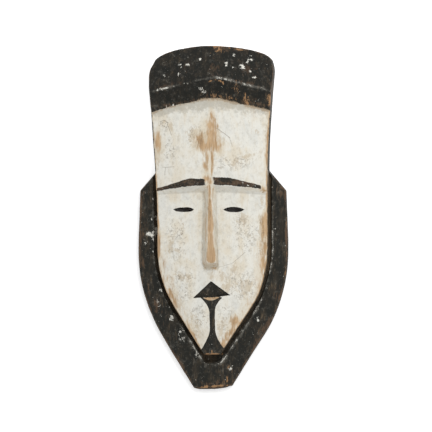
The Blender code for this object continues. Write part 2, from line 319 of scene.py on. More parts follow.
def carvedRows():
    runs = [smoothRows(names) for names in smoothRuns]
    rows = np.vstack(runs[:1] + [run[1:] for run in runs[1:]])
    return rows * (halfLength, halfLength, 1, depth, depth, 1, 1)


def noseLines(y):
    ridge = np.interp(y, nose["places"], nose["ridgeHalf"])
    foot = np.interp(y, nose["places"], nose["footHalf"])
    ridgeMiddle = np.interp(y, nose["places"], nose["ridgeMiddle"])
    footMiddle = np.interp(y, nose["places"], nose["footMiddle"])
    return footMiddle - foot, ridgeMiddle - ridge, ridgeMiddle + ridge, footMiddle + foot


def noseHeight(y, acrossShare):
    end = noseEndY + nose["endRoundness"] * acrossShare**2
    under = sections["noseEnd"][3] * depth
    down = np.clip((tipY + mm - y) / (tipY + mm - end), 0, 1)
    top = np.interp(y, (tipY, browY, browY + nose["rootFade"]), (depth, depth - nose["rootDrop"], 0))
    return np.where(down < 1, top + (under - top) * down ** nose["endBend"], 0)


def columnPlaces(y, left, right):
    footLeft, ridgeLeft, ridgeRight, footRight = noseLines(y)
    ease = np.concatenate([[0], edgeEase()])
    outer, flank, ridge = (carving[k] for k in ("outerColumns", "flankColumns", "ridgeColumns"))
    return np.concatenate([
        left + ease,
        np.linspace(left + ease[-1], footLeft, outer + 1)[1:],
        np.linspace(footLeft, ridgeLeft, flank + 1)[1:],
        np.linspace(ridgeLeft, ridgeRight, 2 * ridge + 1)[1:],
        np.linspace(ridgeRight, footRight, flank + 1)[1:],
        np.linspace(footRight, right - ease[-1], outer + 1)[1:],
        right - ease[-2::-1],
    ])


def crownLine(x):
    cornerAt = sections["crown"][1] * halfLength
    edge = np.where(x < 0, -faceEdge(cornerAt, -1), faceEdge(cornerAt, 1))
    radius, squareness = (np.where(x < 0, *outline[k]) for k in ("crownRadius", "crownSquareness"))
    cornerDrop = halfLength - edge**2 / (2 * radius) - cornerAt
    return halfLength - x**2 / (2 * radius) - cornerDrop * (np.abs(x) / edge) ** squareness


def frontGrid(rows):
    grid = []
    edgeAway = []
    for yMiddle, yEdge, lineBend, zMiddle, zEdge, heightBend, peak in rows:
        left, right = faceEdge(yEdge, -1), faceEdge(yEdge, 1)
        x = columnPlaces(yMiddle, left, right)
        reach = np.where(x < peak, (peak - x) / (peak - left), (x - peak) / (right - peak))
        y = yMiddle + (yEdge - yMiddle) * reach**lineBend
        blend = np.clip(1 - (halfLength - yMiddle) / carving["crownBlend"], 0, 1) ** 2
        y += (crownLine(x) - (halfLength + (yEdge - yMiddle) * reach**lineBend)) * blend
        z = zMiddle + (zEdge - zMiddle) * reach**heightBend
        footLeft, ridgeLeft, ridgeRight, footRight = noseLines(yMiddle)
        flank = (x - footLeft) / (ridgeLeft - footLeft)
        flank = np.minimum(flank, (footRight - x) / (footRight - ridgeRight))
        acrossNose = np.clip(np.abs(2 * x - footLeft - footRight) / (footRight - footLeft), 0, 1)
        z += np.maximum(noseHeight(yMiddle, acrossNose) - z, 0) * np.clip(flank, 0, 1)
        away = np.minimum(x - left, right - x)
        away = np.minimum(away, np.maximum(crownLine(x) - y, 0))
        away = np.minimum(away, y - chinY)
        radius = carving["edgeRadius"]
        z -= radius - np.sqrt(radius**2 - np.clip(radius - away, 0, radius) ** 2)
        grid.append(np.column_stack([x, y, z]))
        edgeAway.append(away)
    return np.array(grid), np.array(edgeAway)


# A grid's z softened once along its rows and columns, so that carved edges aren't knife-sharp
def soften(grid):
    rim = carving["edgeSteps"]
    side = rim + 2
    z = grid[:, :, 2].copy()
    z[1:-1] = (z[:-2] + 2 * z[1:-1] + z[2:]) / 4
    z[:, side:-side] = (z[:, side - 1:-side - 1] + 2 * z[:, side:-side] + z[:, side + 1:-side + 1]) / 4
    grid[rim:-rim, side:-side, 2] = z[rim:-rim, side:-side]
    return grid


# The hollow behind: a smooth vault, with its lines drawn closer together towards its walls

hollow = {
    "frontWall": 0.012,
    "sideWall": 0.0155,
    "roofSmoothing": 0.022,
    "vaultSides": 4,
    "vaultEnds": 12,
    "vaultRoundness": 0.45,
    "crowding": 1.3,
    "cornerDrop": 0.006,
    "cornerSquareness": 8,
}


def hollowGrid(rows, front):
    h = hollow
    middleY, middleZ = rows[:, 0], rows[:, 3]
    apart = np.abs(middleY[:, None] - middleY)
    lowest = np.where(apart < 2 * h["roofSmoothing"], middleZ, depth).min(axis=1)
    roof = np.average(np.tile(lowest, (len(lowest), 1)), axis=1, weights=apart < h["roofSmoothing"])
    widest = front[:, -1, 0].max()
    middleRow = front[len(rows) // 2, :, 0]
    across = middleRow / np.abs(middleRow[[0, -1]]).max()
    across = np.sign(across) * (1 - (1 - np.abs(np.clip(across, -1, 1))) ** h["crowding"])
    down = np.clip((halfLength - rows[:, 0]) / (halfLength - chinY), 0, 1)
    down = 0.5 + np.sign(down - 0.5) * 0.5 * (1 - (1 - np.abs(2 * down - 1)) ** h["crowding"])
    topY = halfLength - (across * widest) ** 2 / (2 * outline["crownRadius"][0]) - h["sideWall"]
    topY -= h["cornerDrop"] * np.abs(across) ** h["cornerSquareness"]
    y = topY + (hollowEndY - topY) * down[:, None]
    width = np.vectorize(faceHalfWidth)(y) - h["sideWall"]
    alongVault = 1 - np.abs(2 * down - 1) ** h["vaultEnds"]
    vault = (1 - np.abs(across) ** h["vaultSides"]) * alongVault[:, None]
    roofHere = np.interp(-y, -middleY, roof) - h["frontWall"]
    z = roofHere * np.clip(vault, 0, 1) ** h["vaultRoundness"]
    return np.dstack([across * width, y, z])


def outerPoint(x, y):
    o = outline
    if abs(x) < o["chinHalfWidth"] and y < eyeY:
        share = x / o["chinHalfWidth"]
        slant = max((share + o["soleSlantStart"]) / (1 + o["soleSlantStart"]), 0) ** o["soleSlantBend"]
        lift = o["soleSlant"] * slant + o["soleCorner"] * abs(share) ** o["soleSquareness"]
        return share * o["soleHalfWidth"] + o["soleShift"], -halfLength + lift
    if y > shoulderY:
        return x, y
    down = np.clip((eyeY - y) / (eyeY - chinY), 0, 1)
    footY = -halfLength + o["soleCorner"] + (o["soleSlant"] if x > 0 else 0)
    outerY = y - (chinY - footY) * down**2
    shifted = np.clip((hollowEndY - outerY + o["soleShiftStart"]) / o["soleShiftLength"], 0, 1)
    return math.copysign(borderHalfWidth(outerY), x) + o["soleShift"] * shifted, outerY


# A path through the corners, each turned on a small arc, with steps added along its spans
def roundedPath(corners, radii, spanSteps):
    gaps = np.linalg.norm(np.diff(corners, axis=0), axis=1)
    path = [corners[0]]
    last = corners[0]
    for k, radius in enumerate(radii, 1):
        corner = corners[k]
        start = corner + (corners[k - 1] - corner) * min(radius / max(gaps[k - 1], 1e-6), 0.45)
        end = corner + (corners[k + 1] - corner) * min(radius / max(gaps[k], 1e-6), 0.45)
        for t in np.linspace(0, 1, spanSteps[k - 1] + 1)[1:]:
            path.append(last + (start - last) * t)
        path.append((start + 2 * corner + end) / 4)
        path.append(end)
        last = end
    for t in np.linspace(0, 1, spanSteps[-1] + 1)[1:]:
        path.append(last + (corners[-1] - last) * t)
    return np.array(path)


# One rib from the face's edge over groove and border and down to the back rim. With it come its
# distance from the edge, how near each point is to the border's arris and to its outer or back
# edge, and how brown it is in the groove.
def rib(edge, rimPoint):
    b = border
    x, y, z = edge
    outerX, outerY = outerPoint(x, y)
    width = math.hypot(outerX - x, outerY - y)
    arrisAt = np.interp(y / chinY, b["arrisPlaces"], b["leftArris"] if x < 0 else b["rightArris"])
    floorTo = b["grooveWidth"]
    if y < chinY + 0.1 * mm:
        recessed = 1 - min(abs(x) / outline["chinHalfWidth"], 1) ** 4
        arrisAt += b["recessDepth"] * recessed
        floorTo += b["recessFloor"] * recessed
    formed = min(1, b["narrowShare"] * width / arrisAt)
    reach = np.array((b["wallLean"], floorTo, arrisAt, -b["chamfer"], 0)) * formed
    reach[3:] += width
    wall = z * np.array(b["bareWallSteps"])
    low, high = b["grooveHeight"], b["height"]
    over = np.array((low, low, b["arrisHeight"], high, high - b["chamfer"]))
    height = wall + (over - wall) * formed
    along = reach / max(width, b["chamfer"])
    points = np.column_stack([x + (outerX - x) * along, y + (outerY - y) * along, height])
    back = np.array((outerX, outerY, 0))
    inward = np.array((rimPoint[0], rimPoint[1], 0)) - back
    inner = back + inward * b["rimInset"] / np.linalg.norm(inward)
    path = roundedPath(np.vstack([edge, points, back, inner]), b["radii"], b["spanSteps"])
    travelled = np.concatenate([[0], np.cumsum(np.linalg.norm(np.diff(path, axis=0), axis=1))])

    def nearTo(point, reach):
        return np.exp(-(np.linalg.norm(path - point, axis=1) / reach) ** 2)

    nearArris = nearTo(points[2], b["arrisWear"]) * formed
    nearOuter = nearTo((points[3] + points[4]) / 2, b["outerWear"]) * formed
    nearBack = nearTo(back, b["backWear"]) * b["backWearShare"]
    toArris = travelled[np.argmax(nearArris)] if formed > b["leastFormed"] else 0
    inGroove = np.clip((toArris - travelled) / b["brownClear"] - 1, 0, 1) * min(formed * 2, 1)
    fadeFrom, fadeLength = b["brownFade"]
    least = b["brownLeast"][0 if x < 0 else 1]
    fade = np.clip(fadeFrom + y / fadeLength, least, 1)
    inGroove *= np.clip(x / b["brownTurn"], b["brownLeft"], 1) * fade
    return path, travelled, nearArris, np.maximum(nearOuter, nearBack), inGroove


def edgeLoop(rows, columns):
    left = [(r, 0) for r in range(rows - 1)]
    low = [(rows - 1, c) for c in range(columns - 1)]
    right = [(r, columns - 1) for r in range(rows - 1, 0, -1)]
    top = [(0, c) for c in range(columns - 1, 0, -1)]
    return left + low + right + top


def gridFaces(rows, columns, first, upwards):
    faces = []
    for r in range(rows - 1):
        for c in range(columns - 1):
            a = first + r * columns + c
            d = a + columns
            faces.append((a, d, d + 1, a + 1) if upwards else (a, a + 1, d + 1, d))
    return faces


# All points and faces of the mask, and what each point is: its distance from the face's edge in
# millimetres (less than zero on the face), its wear, brown in the groove, and whether it is behind
def maskMesh():
    rows = carvedRows()
    if len(rows) % 2 == 0:
        rows = np.delete(rows, len(rows) // 2, axis=0)
    front, edgeAway = frontGrid(rows)
    front = soften(front)
    rowCount, columnCount = front.shape[:2]
    behind = hollowGrid(rows, front)[::2, ::2]
    behindRows, behindColumns = behind.shape[:2]
    frontSize, behindSize = rowCount * columnCount, behindRows * behindColumns
    loop = edgeLoop(rowCount, columnCount)
    behindLoop = edgeLoop(behindRows, behindColumns)
    parts = [rib(front[place], behind[behindLoop[i // 2]]) for i, place in enumerate(loop)]
    ribSize = len(parts[0][0]) - 1
    points = np.vstack([front.reshape(-1, 3), behind.reshape(-1, 3), *[p[0][1:] for p in parts]])
    farBehind = np.full(behindSize, 99.0)
    notes = {
        "edge": np.concatenate([-edgeAway.ravel() / mm, farBehind, *[p[1][1:] / mm for p in parts]]),
        "behind": np.repeat((0.0, 1.0, 0.0), (frontSize, behindSize, len(loop) * ribSize)),
    }
    for k, name in enumerate(("arris", "outer", "groove"), 2):
        notes[name] = np.concatenate([np.zeros(frontSize + behindSize), *[p[k][1:] for p in parts]])
    outside = gridFaces(rowCount, columnCount, 0, True)
    inside = gridFaces(behindRows, behindColumns, frontSize, False)
    chains = []
    for i, (r, c) in enumerate(loop):
        first = frontSize + behindSize + i * ribSize
        chains.append([r * columnCount + c, *range(first, first + ribSize)])
    for here, there in zip(chains, chains[1:] + chains[:1]):
        for k in range(ribSize):
            outside.append((here[k], here[k + 1], there[k + 1], there[k]))
    rim = [frontSize + r * behindColumns + c for r, c in behindLoop]
    for j, (here, there) in enumerate(zip(rim, rim[1:] + rim[:1])):
        a, b, c = (chains[(2 * j + k) % len(chains)][-1] for k in range(3))
        inside.append((a, here, there, c, b))
    return points, outside, inside, notes


# Hand work: a slow swell, and shallow tool facets that are bolder on the black parts and behind

handWork = {
    "swell": 0.00045,
    "swellsPerMetre": 21,
    "swellThrough": 0.5,  # of that through the depth
    "facet": (0.00010, 0.00030, 0.0009),  # on the face, on the black parts, in the hollow
    "facetsPerMetre": ((70, 40), (85, 48), (62, 40)),  # across and along
    "facetRise": 2,
    "facetLevel": 0.6,
    "restAtRim": 0.006,
}


def roughen(mesh, notes):
    h = handWork
    count = len(mesh.vertices)
    points = np.array([v.co for v in mesh.vertices])
    normals = np.array([v.normal for v in mesh.vertices])
    onBlack = (notes["edge"] > 0) | (points[:, 1] > hairlineAt(points[:, 0]))
    kinds = np.where(notes["behind"] > 0, 2, np.where(onBlack, 1, 0))
    moves = np.empty(count)
    for i in range(count):
        x, y, z = points[i]
        kind = kinds[i]
        across, along = h["facetsPerMetre"][kind]
        swell = noise.noise(Vector((x, y, z * h["swellThrough"])) * h["swellsPerMetre"])
        near = noise.voronoi(Vector((x * across, y * along, z * across)))[0][0]
        facet = near * near * h["facetRise"] - h["facetLevel"]
        moves[i] = h["swell"] * swell + h["facet"][kind] * facet
    moves *= np.clip(points[:, 2] / h["restAtRim"], 0, 1)
    points += normals * moves[:, None]
    low, high = np.array(cadBox[0]), np.array(cadBox[1])
    points = np.clip(points, low, high)
    mesh.vertices.foreach_set("co", points.ravel())
    mesh.update()
    return points


# The line where the black of the crest meets the white of the forehead, and how it strays: it drops
# towards its left end and in two steps, and rises beside the middle
hairline = {
    "leftDrop": 0.003,
    "leftReach": 0.1,
    "leftBend": 4,
    # each step's side, start, length and drop
    "steps": ((-1, 0.012, 0.02, 0.0020), (1, 0.030, 0.02, 0.0012)),
    "rise": 0.0018,
    "riseAt": 0.015,
    "riseReach": 0.008,
}


def hairlineAt(x):
    h = hairline
    yMiddle, yEdge, bend, _, _, _, peak = sections["hairline"]
    reach = np.abs(x - peak) / faceHalfWidth(yEdge * halfLength)
    drop = h["leftDrop"] * np.clip(-x / h["leftReach"], 0, 1) ** h["leftBend"]
    for side, start, length, step in h["steps"]:
        drop = drop + step * np.clip((side * x - start) / length, 0, 1)
    drop = drop - h["rise"] * np.exp(-((x - h["riseAt"]) / h["riseReach"]) ** 2)
    return (yMiddle + (yEdge - yMiddle) * reach**bend) * halfLength - drop


def browLineAt(x):
    yMiddle, yEdge, bend = sections["brow"][:3]
    reach = np.abs(x) / faceHalfWidth(yEdge * halfLength)
    return (yMiddle + (yEdge - yMiddle) * np.minimum(reach, 1) ** bend) * halfLength


def addMesh(name, points, faces):
    mesh = bpy.data.meshes.new(name)
    mesh.from_pydata([tuple(p) for p in points], [], faces)
    mesh.validate()
    item = bpy.data.objects.new(name, mesh)
    bpy.context.scene.collection.objects.link(item)
    return item


# Eyes and mouth are cut into the carved block

eyes = {
    "halfLength": 0.0181,
    "middles": (-0.0487, 0.0393),
    # for each eye, upper line and lower line: its height, where it peaks and how full it is
    "lines": (((0.0036, 0.30, 2.8), (0.0040, 0.10, 4.2)), ((0.0043, -0.08, 2.2), (0.0045, 0.0, 3.4))),
    "points": 28,
    "from": 0.010,
}

mouth = {
    "apex": (-0.0004, -0.1106),
    "leftCorner": (-0.0312, -0.1399),
    "rightCorner": (0.0331, -0.1350),
    "sideHollow": 0.0002,  # how far the upper sides curve in
    "lipLeft": (-0.0150, -0.1388),
    "lipRight": (0.0165, -0.1368),
    "lipDrop": 0.0062,
    "deepest": (0.0015, -0.1374),
    "depth": 0.0075,
    "rim": 0.0009,  # the cut's sides go straight down this far
    "above": 0.01,  # and up, clear of the surface
    "rings": (0.25, 0.5, 0.75),
    "sidePoints": 10,
    "lipPoints": 14,
}


def prism(lowRing, highRing):
    count = len(lowRing)
    sides = [(k, (k + 1) % count, count + (k + 1) % count, count + k) for k in range(count)]
    ends = [tuple(range(count - 1, -1, -1)), tuple(range(count, 2 * count))]
    return [*lowRing, *highRing], sides + ends


def eyeOutline(which):
    along = np.linspace(-1, 1, eyes["points"] + 1)

    def line(height, peak, fullness):
        reach = np.where(along < peak, (peak - along) / (peak + 1), (along - peak) / (1 - peak))
        return height * (1 - reach**fullness)

    upper, lower = (line(*shape) for shape in eyes["lines"][which])
    x = eyes["middles"][which] + eyes["halfLength"] * np.concatenate([along, along[-2:0:-1]])
    return x, eyeY + np.concatenate([-lower, upper[-2:0:-1]])


def mouthOutline():
    m = mouth
    apex, left, right = (np.array(m[k]) for k in ("apex", "leftCorner", "rightCorner"))
    lipLeft, lipRight = np.array(m["lipLeft"]), np.array(m["lipRight"])

    def hollowSide(start, end):
        t = np.linspace(0, 1, m["sidePoints"] + 1)[:-1, None]
        inward = np.array((0, -1)) * m["sideHollow"] * np.sin(math.pi * t)
        return start + (end - start) * t + inward

    t = np.linspace(0, 1, m["lipPoints"] + 1)[:, None]
    lip = lipLeft + (lipRight - lipLeft) * t - np.array((0, 1)) * m["lipDrop"] * 4 * t * (1 - t)
    return np.vstack([hollowSide(apex, left), left, lip, hollowSide(right, apex)])


def surfaceHeight(x, y, rows):
    middle = np.interp(-y, -rows[:, 0], rows[:, 3])
    edge = np.interp(-y, -rows[:, 0], rows[:, 4])
    bend = np.interp(-y, -rows[:, 0], rows[:, 5])
    return middle + (edge - middle) * np.abs(x / faceHalfWidth(y)) ** bend


def eyeCutter(which):
    x, y = eyeOutline(which)
    rings = [np.column_stack([x, y, np.full(len(x), z)]) for z in (eyes["from"], depth)]
    return addMesh("eyeCutter", *prism(*rings))


def mouthCutter(rows):
    ring = mouthOutline()
    z = np.array([surfaceHeight(x, y, rows) for x, y in ring])
    low = np.column_stack([ring, z - mouth["rim"]])
    high = np.column_stack([ring, z + mouth["above"]])
    count = len(ring)
    deepest = np.array((*mouth["deepest"], surfaceHeight(*mouth["deepest"], rows) - mouth["depth"]))
    points, faces = prism(low, high)
    faces.remove(tuple(range(count - 1, -1, -1)))
    first = 0
    for share in mouth["rings"]:
        faces += [(first + k, len(points) + k, len(points) + (k + 1) % count, first + (k + 1) % count)
                  for k in range(count)]
        first = len(points)
        points += [p + (deepest - p) * share for p in low]
    faces += [(first + k, len(points), first + (k + 1) % count) for k in range(count)]
    return addMesh("mouthCutter", [*points, deepest], faces)


def cutAway(item, cutters):
    for cutter in cutters:
        boolean = item.modifiers.new(cutter.name, "BOOLEAN")
        boolean.operation = "DIFFERENCE"
        boolean.solver = "EXACT"
        boolean.object = cutter
    bpy.context.view_layer.update()
    evaluated = item.evaluated_get(bpy.context.evaluated_depsgraph_get())
    mesh = bpy.data.meshes.new_from_object(evaluated)
    item.modifiers.clear()
    item.data = mesh
    for cutter in cutters:
        bpy.data.objects.remove(cutter)


# Where paint, bare wood, chalk, dirt and some painted shade and highlight lie. Every mark is x, y,
# half-width and half-height in millimetres and a turn in degrees; its strength runs from 1 in its middle
# to 0 at its edge.

marks = {
    "wood": {
        "foreheadTip": (1, 176, 4, 10, 0),
        "foreheadTop": (2, 162, 9, 14, 6),
        "foreheadBody": (1, 142, 10, 18, 0),
        "foreheadLow": (-1, 126, 14, 12, 0),
        "foreheadLeftLobe": (-20, 136, 11, 14, 10),
        "foreheadLeftFoot": (-15, 125, 12, 9, 0),
        "foreheadRightLobe": (13, 122, 7, 13, 14),
        "foreheadStreakLeft": (-6, 108, 3, 16, 0),
        "foreheadStreakRight": (3, 104, 3, 18, 0),
        "aboveBrow": (-8, 88, 3.5, 9, 8),
        "aboveBrowRight": (2, 82, 1.5, 9, 0),
        "browGap": (-6, 68, 6, 6, 0),
        "browGapRight": (0, 62, 5, 5, 0),
        "browEndRight": (90, 50.5, 7, 6, 0),
        "leftTemple": (-94, 134, 6, 18, 0),
        "rightTemple": (98, 104, 4, 20, 0),
        "rightTempleEdge": (100, 134, 2.2, 46, -3),
        "leftCheekTop": (-94, -14, 2, 20, 0),
        "leftCheekLine": (-92, -44, 2.4, 34, 2),
        "rightCheekTop": (93, 0, 4, 14, 0),
        "rightCheekPatch": (91.5, -22, 6, 17, 0),
        "rightCheekMiddle": (93.5, -50, 4, 23, 0),
        "rightCheekFoot": (90.5, -81, 4, 12, 4),
        "chinRight": (40, -182, 8, 14, -25),
        "chinRightMiddle": (32, -202, 7, 18, -25),
        "chinRightLow": (20, -222, 4, 12, -18),
        "chinLeft": (-33, -205, 4, 30, 27),
        "cheekLeftLow": (-68, -140, 4, 20, 24),
    },
    "stain": {
        "hairlineMiddle": (8, 206, 26, 5, 0),
        "hairlineRight": (78, 194, 20, 5, -8),
        "hairlineFarRight": (95, 186, 10, 4, 0),
        "besideLobe": (-32, 143, 10, 14, 20),
        "foreheadHalo": (-2, 132, 26, 26, 0),
        "leftTempleFoot": (-93, 104, 5, 28, 0),
        "leftStain": (-70, 158, 4, 10, 22),
        "leftStainTop": (-81, 167, 6, 4, 0),
        "rightForehead": (60, 106, 24, 3.5, 16),
        "rightForeheadDrop": (42, 97, 6, 12, 0),
        "rightSpot": (80, 152, 4, 5, 0),
        "rightTempleLine": (99, 134, 4.5, 64, -3),
        "leftTempleLine": (-98, 120, 3, 62, 3.5),
        "rightTempleTop": (97, 182, 6, 10, 0),
        "noseRoot": (-3, 26, 4, 38, 0),
        # painted shade under the nose's end
        "paintedShadeUnderNose": (0, -83, 14, 5, 0),
        "ovalUnderEye": (-50, -11, 5, 12, 0),
        "leftCheekDots": (-70, -50, 8, 12, 0),
        "leftCheekArc": (-64, -56, 16, 4, -20),
        "underEyeRight": (56, 0, 12, 10, 0),
        "rightCheekEdge": (90, -36, 9, 56, 0),
        "philtrum": (1, -103, 4, 8, 0),
        "besideNose": (20, -98, 7, 11, 10),
        "besideNoseRight": (40, -92, 7, 11, 0),
        "rightOfMouth": (34, -118, 14, 10, 30),
        "leftOfMouth": (-52, -104, 14, 10, 0),
        "leftJawFoot": (-60, -150, 8, 22, 24),
        "rightJaw": (60, -120, 16, 12, 30),
        "stemRight": (18, -192, 6, 26, -8),
        "chinLeftInner": (-26, -190, 8, 22, 20),
    },
    "chalk": {
        "crownChip": (-19, 276, 2, 2, 0),
        "bandLeft": (-56, 267, 2.5, 2, 20),
        "bandLeftLow": (-52, 263, 2, 2, 0),
        "bandLeftInner": (-40, 267, 3, 1.8, 10),
        "bandLeftDots": (-57, 250, 1.4, 3.5, 0),
        "bandFarLeft": (-82, 248, 2, 2, 0),
        "bandRight": (39, 283, 3, 2, 30),
        "bandRightLarge": (64, 275, 2.0, 5.5, -15),
        "bandRightArm": (69, 276, 4, 1.8, 0),
        "bandRightBlob": (54, 263, 4, 4, 0),
        "bandMiddle": (27, 268, 2.5, 5, -20),
        "bandRightLow": (40, 262, 2, 2, 0),
        "bandRightEdge": (67, 256, 2.5, 2, 0),
        "bandRightFoot": (75, 245, 3, 2.5, 0),
        "underCrest": (-16, 225, 3.2, 2.4, 0),
        "underCrestLow": (-12, 219, 3.5, 3, 0),
        "tickLeft": (-78, 194, 1.2, 4, 0),
        "tickLeftInner": (-66, 196, 1.2, 4, 0),
        "browFleck": (56, 60, 1, 2, 20),
        "browFleckMiddle": (64, 56.5, 2, 1, -15),
        "browFleckRight": (78, 54, 1, 2, 30),
        "borderTopLeft": (-107, -2, 2, 2, 0),
        "borderLeftLarge": (-114, -28, 5, 3.5, 0),
        "borderLeftArm": (-108, -31, 5, 2, 0),
        "borderLeftInner": (-100, -23.5, 4, 8, 0),
        "borderLeftUpper": (-99.5, -1, 2, 6, 0),
        "borderLeftLow": (-118, -44, 3, 4, 0),
        "borderLeftDot": (-105, -38, 2, 2, 0),
        "borderLeftSpot": (-105, -58, 2, 2, 0),
        "lowerLeftDot": (-90, -127, 3, 3, 0),
        "lowerLeftPatch": (-72.5, -175, 4, 3.5, -40),
        "lowerLeftFlecks": (-96, -150, 2, 6, 20),
        "lowerLeftChip": (-57, -199, 3, 4, 20),
        "lowerLeftFoot": (-54, -212, 4.5, 3.5, 0),
        "chinLeftChip": (-28, -238, 6, 3, -50),
        "lowerRightFleck": (79, -178, 2, 4, 20),
        "lowerRightLow": (30, -264, 4, 3, 30),
    },
    "scrape": {
        "crownMiddle": (10, 299, 13, 3, 0),
        "crownMiddleDrop": (13, 294, 3, 6, 0),
        "crownRight": (44, 294, 18, 1.6, -10),
        "peakLeft": (1, 238, 6, 1.8, 22),
        "peakMiddle": (9, 240, 5, 1.8, 0),
        "peakRight": (17, 238, 6, 1.8, -18),
        "peakDrop": (22, 234, 1.6, 4, 12),
        "hairRight": (60, 210, 2.2, 12, -4),
        "hairRightArm": (65, 206, 4, 1.8, 10),
        "hairRightFoot": (62, 200, 4, 4, 0),
        "hairFarRight": (103, 205, 2.5, 11, 0),
        "chinEdge": (2, -238, 21, 2.0, 1),
        "chinRise": (1, -233, 1.2, 3, 0),
        "soleEdge": (3, -295, 35, 1.5, 5),
        "soleRise": (25, -282, 1.8, 8, -8),
    },
    "strokes": {
        "crownMiddle": (13, 293, 14, 9, 0),
        "hairMiddle": (6, 213, 22, 9, 0),
        "hairMiddleRight": (32, 209, 16, 7, -4),
        "hairRight": (62, 205, 9, 12, 0),
        "hairFarRight": (100, 203, 8, 12, 0),
        "peakFoot": (44, 225, 8, 12, 0),
        "recessFoot": (28, -262, 6, 10, -20),
        "soleRise": (24, -282, 6, 11, 0),
        "chinRise": (1, -231, 4, 6, 0),
    },
    "brown": {
        "crownTop": (24, 294, 40, 4, -6),
        "crownRightPatch": (66, 258, 14, 12, 0),
        "crownMiddleLow": (6, 258, 8, 16, 0),
        "crestLeft": (-76, 230, 28, 4, 12),
        "crestRight": (66, 233, 40, 3.5, -14),
        "hairlineLeft": (-56, 200, 40, 3, 10),
        "hairlineRight": (72, 199, 34, 5, -8),
        "crestFarRight": (106, 226, 4, 20, 0),
        "shoulderLeft": (-121, 44, 6, 16, -30),
        "shoulderRight": (119, 44, 7, 16, 30),
        "borderLeft": (-123, -26, 5, 46, 0),
        "borderLeftLow": (-123, -86, 4, 34, 8),
        "borderLeftJaw": (-103, -146, 6, 30, 24),
        "borderRight": (128, -58, 3, 50, 0),
        "borderRightJaw": (116, -124, 4, 30, -20),
        "borderRightLow": (89, -193, 4, 40, -32),
        "borderLeftFoot": (-61, -249, 4, 30, 32),
        "sole": (8, -289, 30, 5, 4),
    },
    "sootAndShade": {
        "crown": (0, 252, 140, 60, 0),
        # painted shade: the recess under the chin is darkened to near black
        "chinRecess": (1, -247.5, 12, 10.5, 0),
        "chinRecessLeft": (-8, -247, 7, 9, 0),
        "chinRecessRight": (9, -247, 7, 9, 0),
    },
    # where the chalk and painted highlight on the arris are strongest
    "arris": {
        "crestLeft": (-84, 224, 11, 8, 12),
        "crestMiddle": (24, 242, 14, 8, 0),
        "crestRight": (66, 232, 10, 8, 0),
        "rightCheek": (104, -32, 8, 14, 0),
        "rightCheekLow": (105, -58, 8, 7, 0),
        "rightJaw": (102, -86, 8, 9, 0),
        "lowRight": (57, -195, 12, 16, 0),
        "jawRight": (80, -158, 14, 16, 0),
        "lowRightFoot": (39, -224, 9, 14, 0),
        "recessRight": (21, -249, 9, 12, 0),
        "recessLeft": (-26, -243, 9, 10, 0),
        "lowLeft": (-58, -200, 10, 12, 0),
        "lowLeftFoot": (-38, -224, 8, 12, 0),
    },
    "dirt": {
        "leftStain": (-82, 156, 9, 15, 10),
        "centreStain": (-25, 140, 22, 26, 0),
        "lowerForehead": (40, 95, 45, 16, 8),
        "leftForehead": (-72, 115, 14, 30, 0),
        "rightCheek": (60, -30, 26, 40, 0),
        "rightCheekEdge": (88, -36, 9, 50, 0),
        "leftCheek": (-62, -40, 24, 50, 0),
        "leftJaw": (-52, -115, 34, 38, 0),
        "rightJaw": (52, -120, 34, 36, 0),
        "chin": (-22, -175, 22, 34, 0),
        "chinRight": (26, -180, 20, 34, 0),
        "noseRidge": (-2, 20, 5, 50, 0),
        "leftTempleLoop": (-84, 163, 12, 10, 0),
        "underEyeRight": (48, -4, 14, 14, 0),
    },
}
paint = {
    "blackOverEdge": 1.5,  # beside the forehead the black comes this far over the left edge
    "browThick": 13.0,  # millimetres of black above the brow's edge at its thickest
    "browThin": (4.6, 4.2),
    "browThickTo": (36.0, 33.0),  # left and right of the middle
    "browThinFrom": (88.0, 93.0),
    "browEnd": (96.0, 87.0),
    "browInnerThinning": 0.11,
    "browInnerReach": 25,
    "browRaised": 0.9,  # on the right
    "browLowered": 2.0,  # at the left end
    "browLoweredFrom": 45,
    "browLoweredOver": 48,
    "browUnder": 0.6,
    "browSharpness": 1.4,
    "browEndSlope": 0.4,
    "browGapSlope": 0.35,
    "browGap": (-10.5, 4.5),
    "stemPlaces": (140, 235),  # below the middle
    "stemMiddle": (1.5, 2.2),
    "stemWaist": 4.8,
    "stemTopFlare": (15.0, 13.0),
    "stemTopBend": (1.9, 2.3),
    "stemTop": (-139.5, -166.0),
    "stemFootFlare": 17.0,
    "stemFootBend": 1.5,
    "stemSharpness": 2.5,
    "stemFoot": (-196.0, -232.0),
}

# The grey band below the hairline; its attribute also carries the painted shade under and beside the
# nose
greyBandAndShade = {
    "reach": 17.0,  # millimetres of greyed white below the hairline, at its middle
    "reachAtSide": 6.0,
    "sideAt": 0.1,
    "least": 2,
    "over": 2,  # and how far it goes up over the black
}
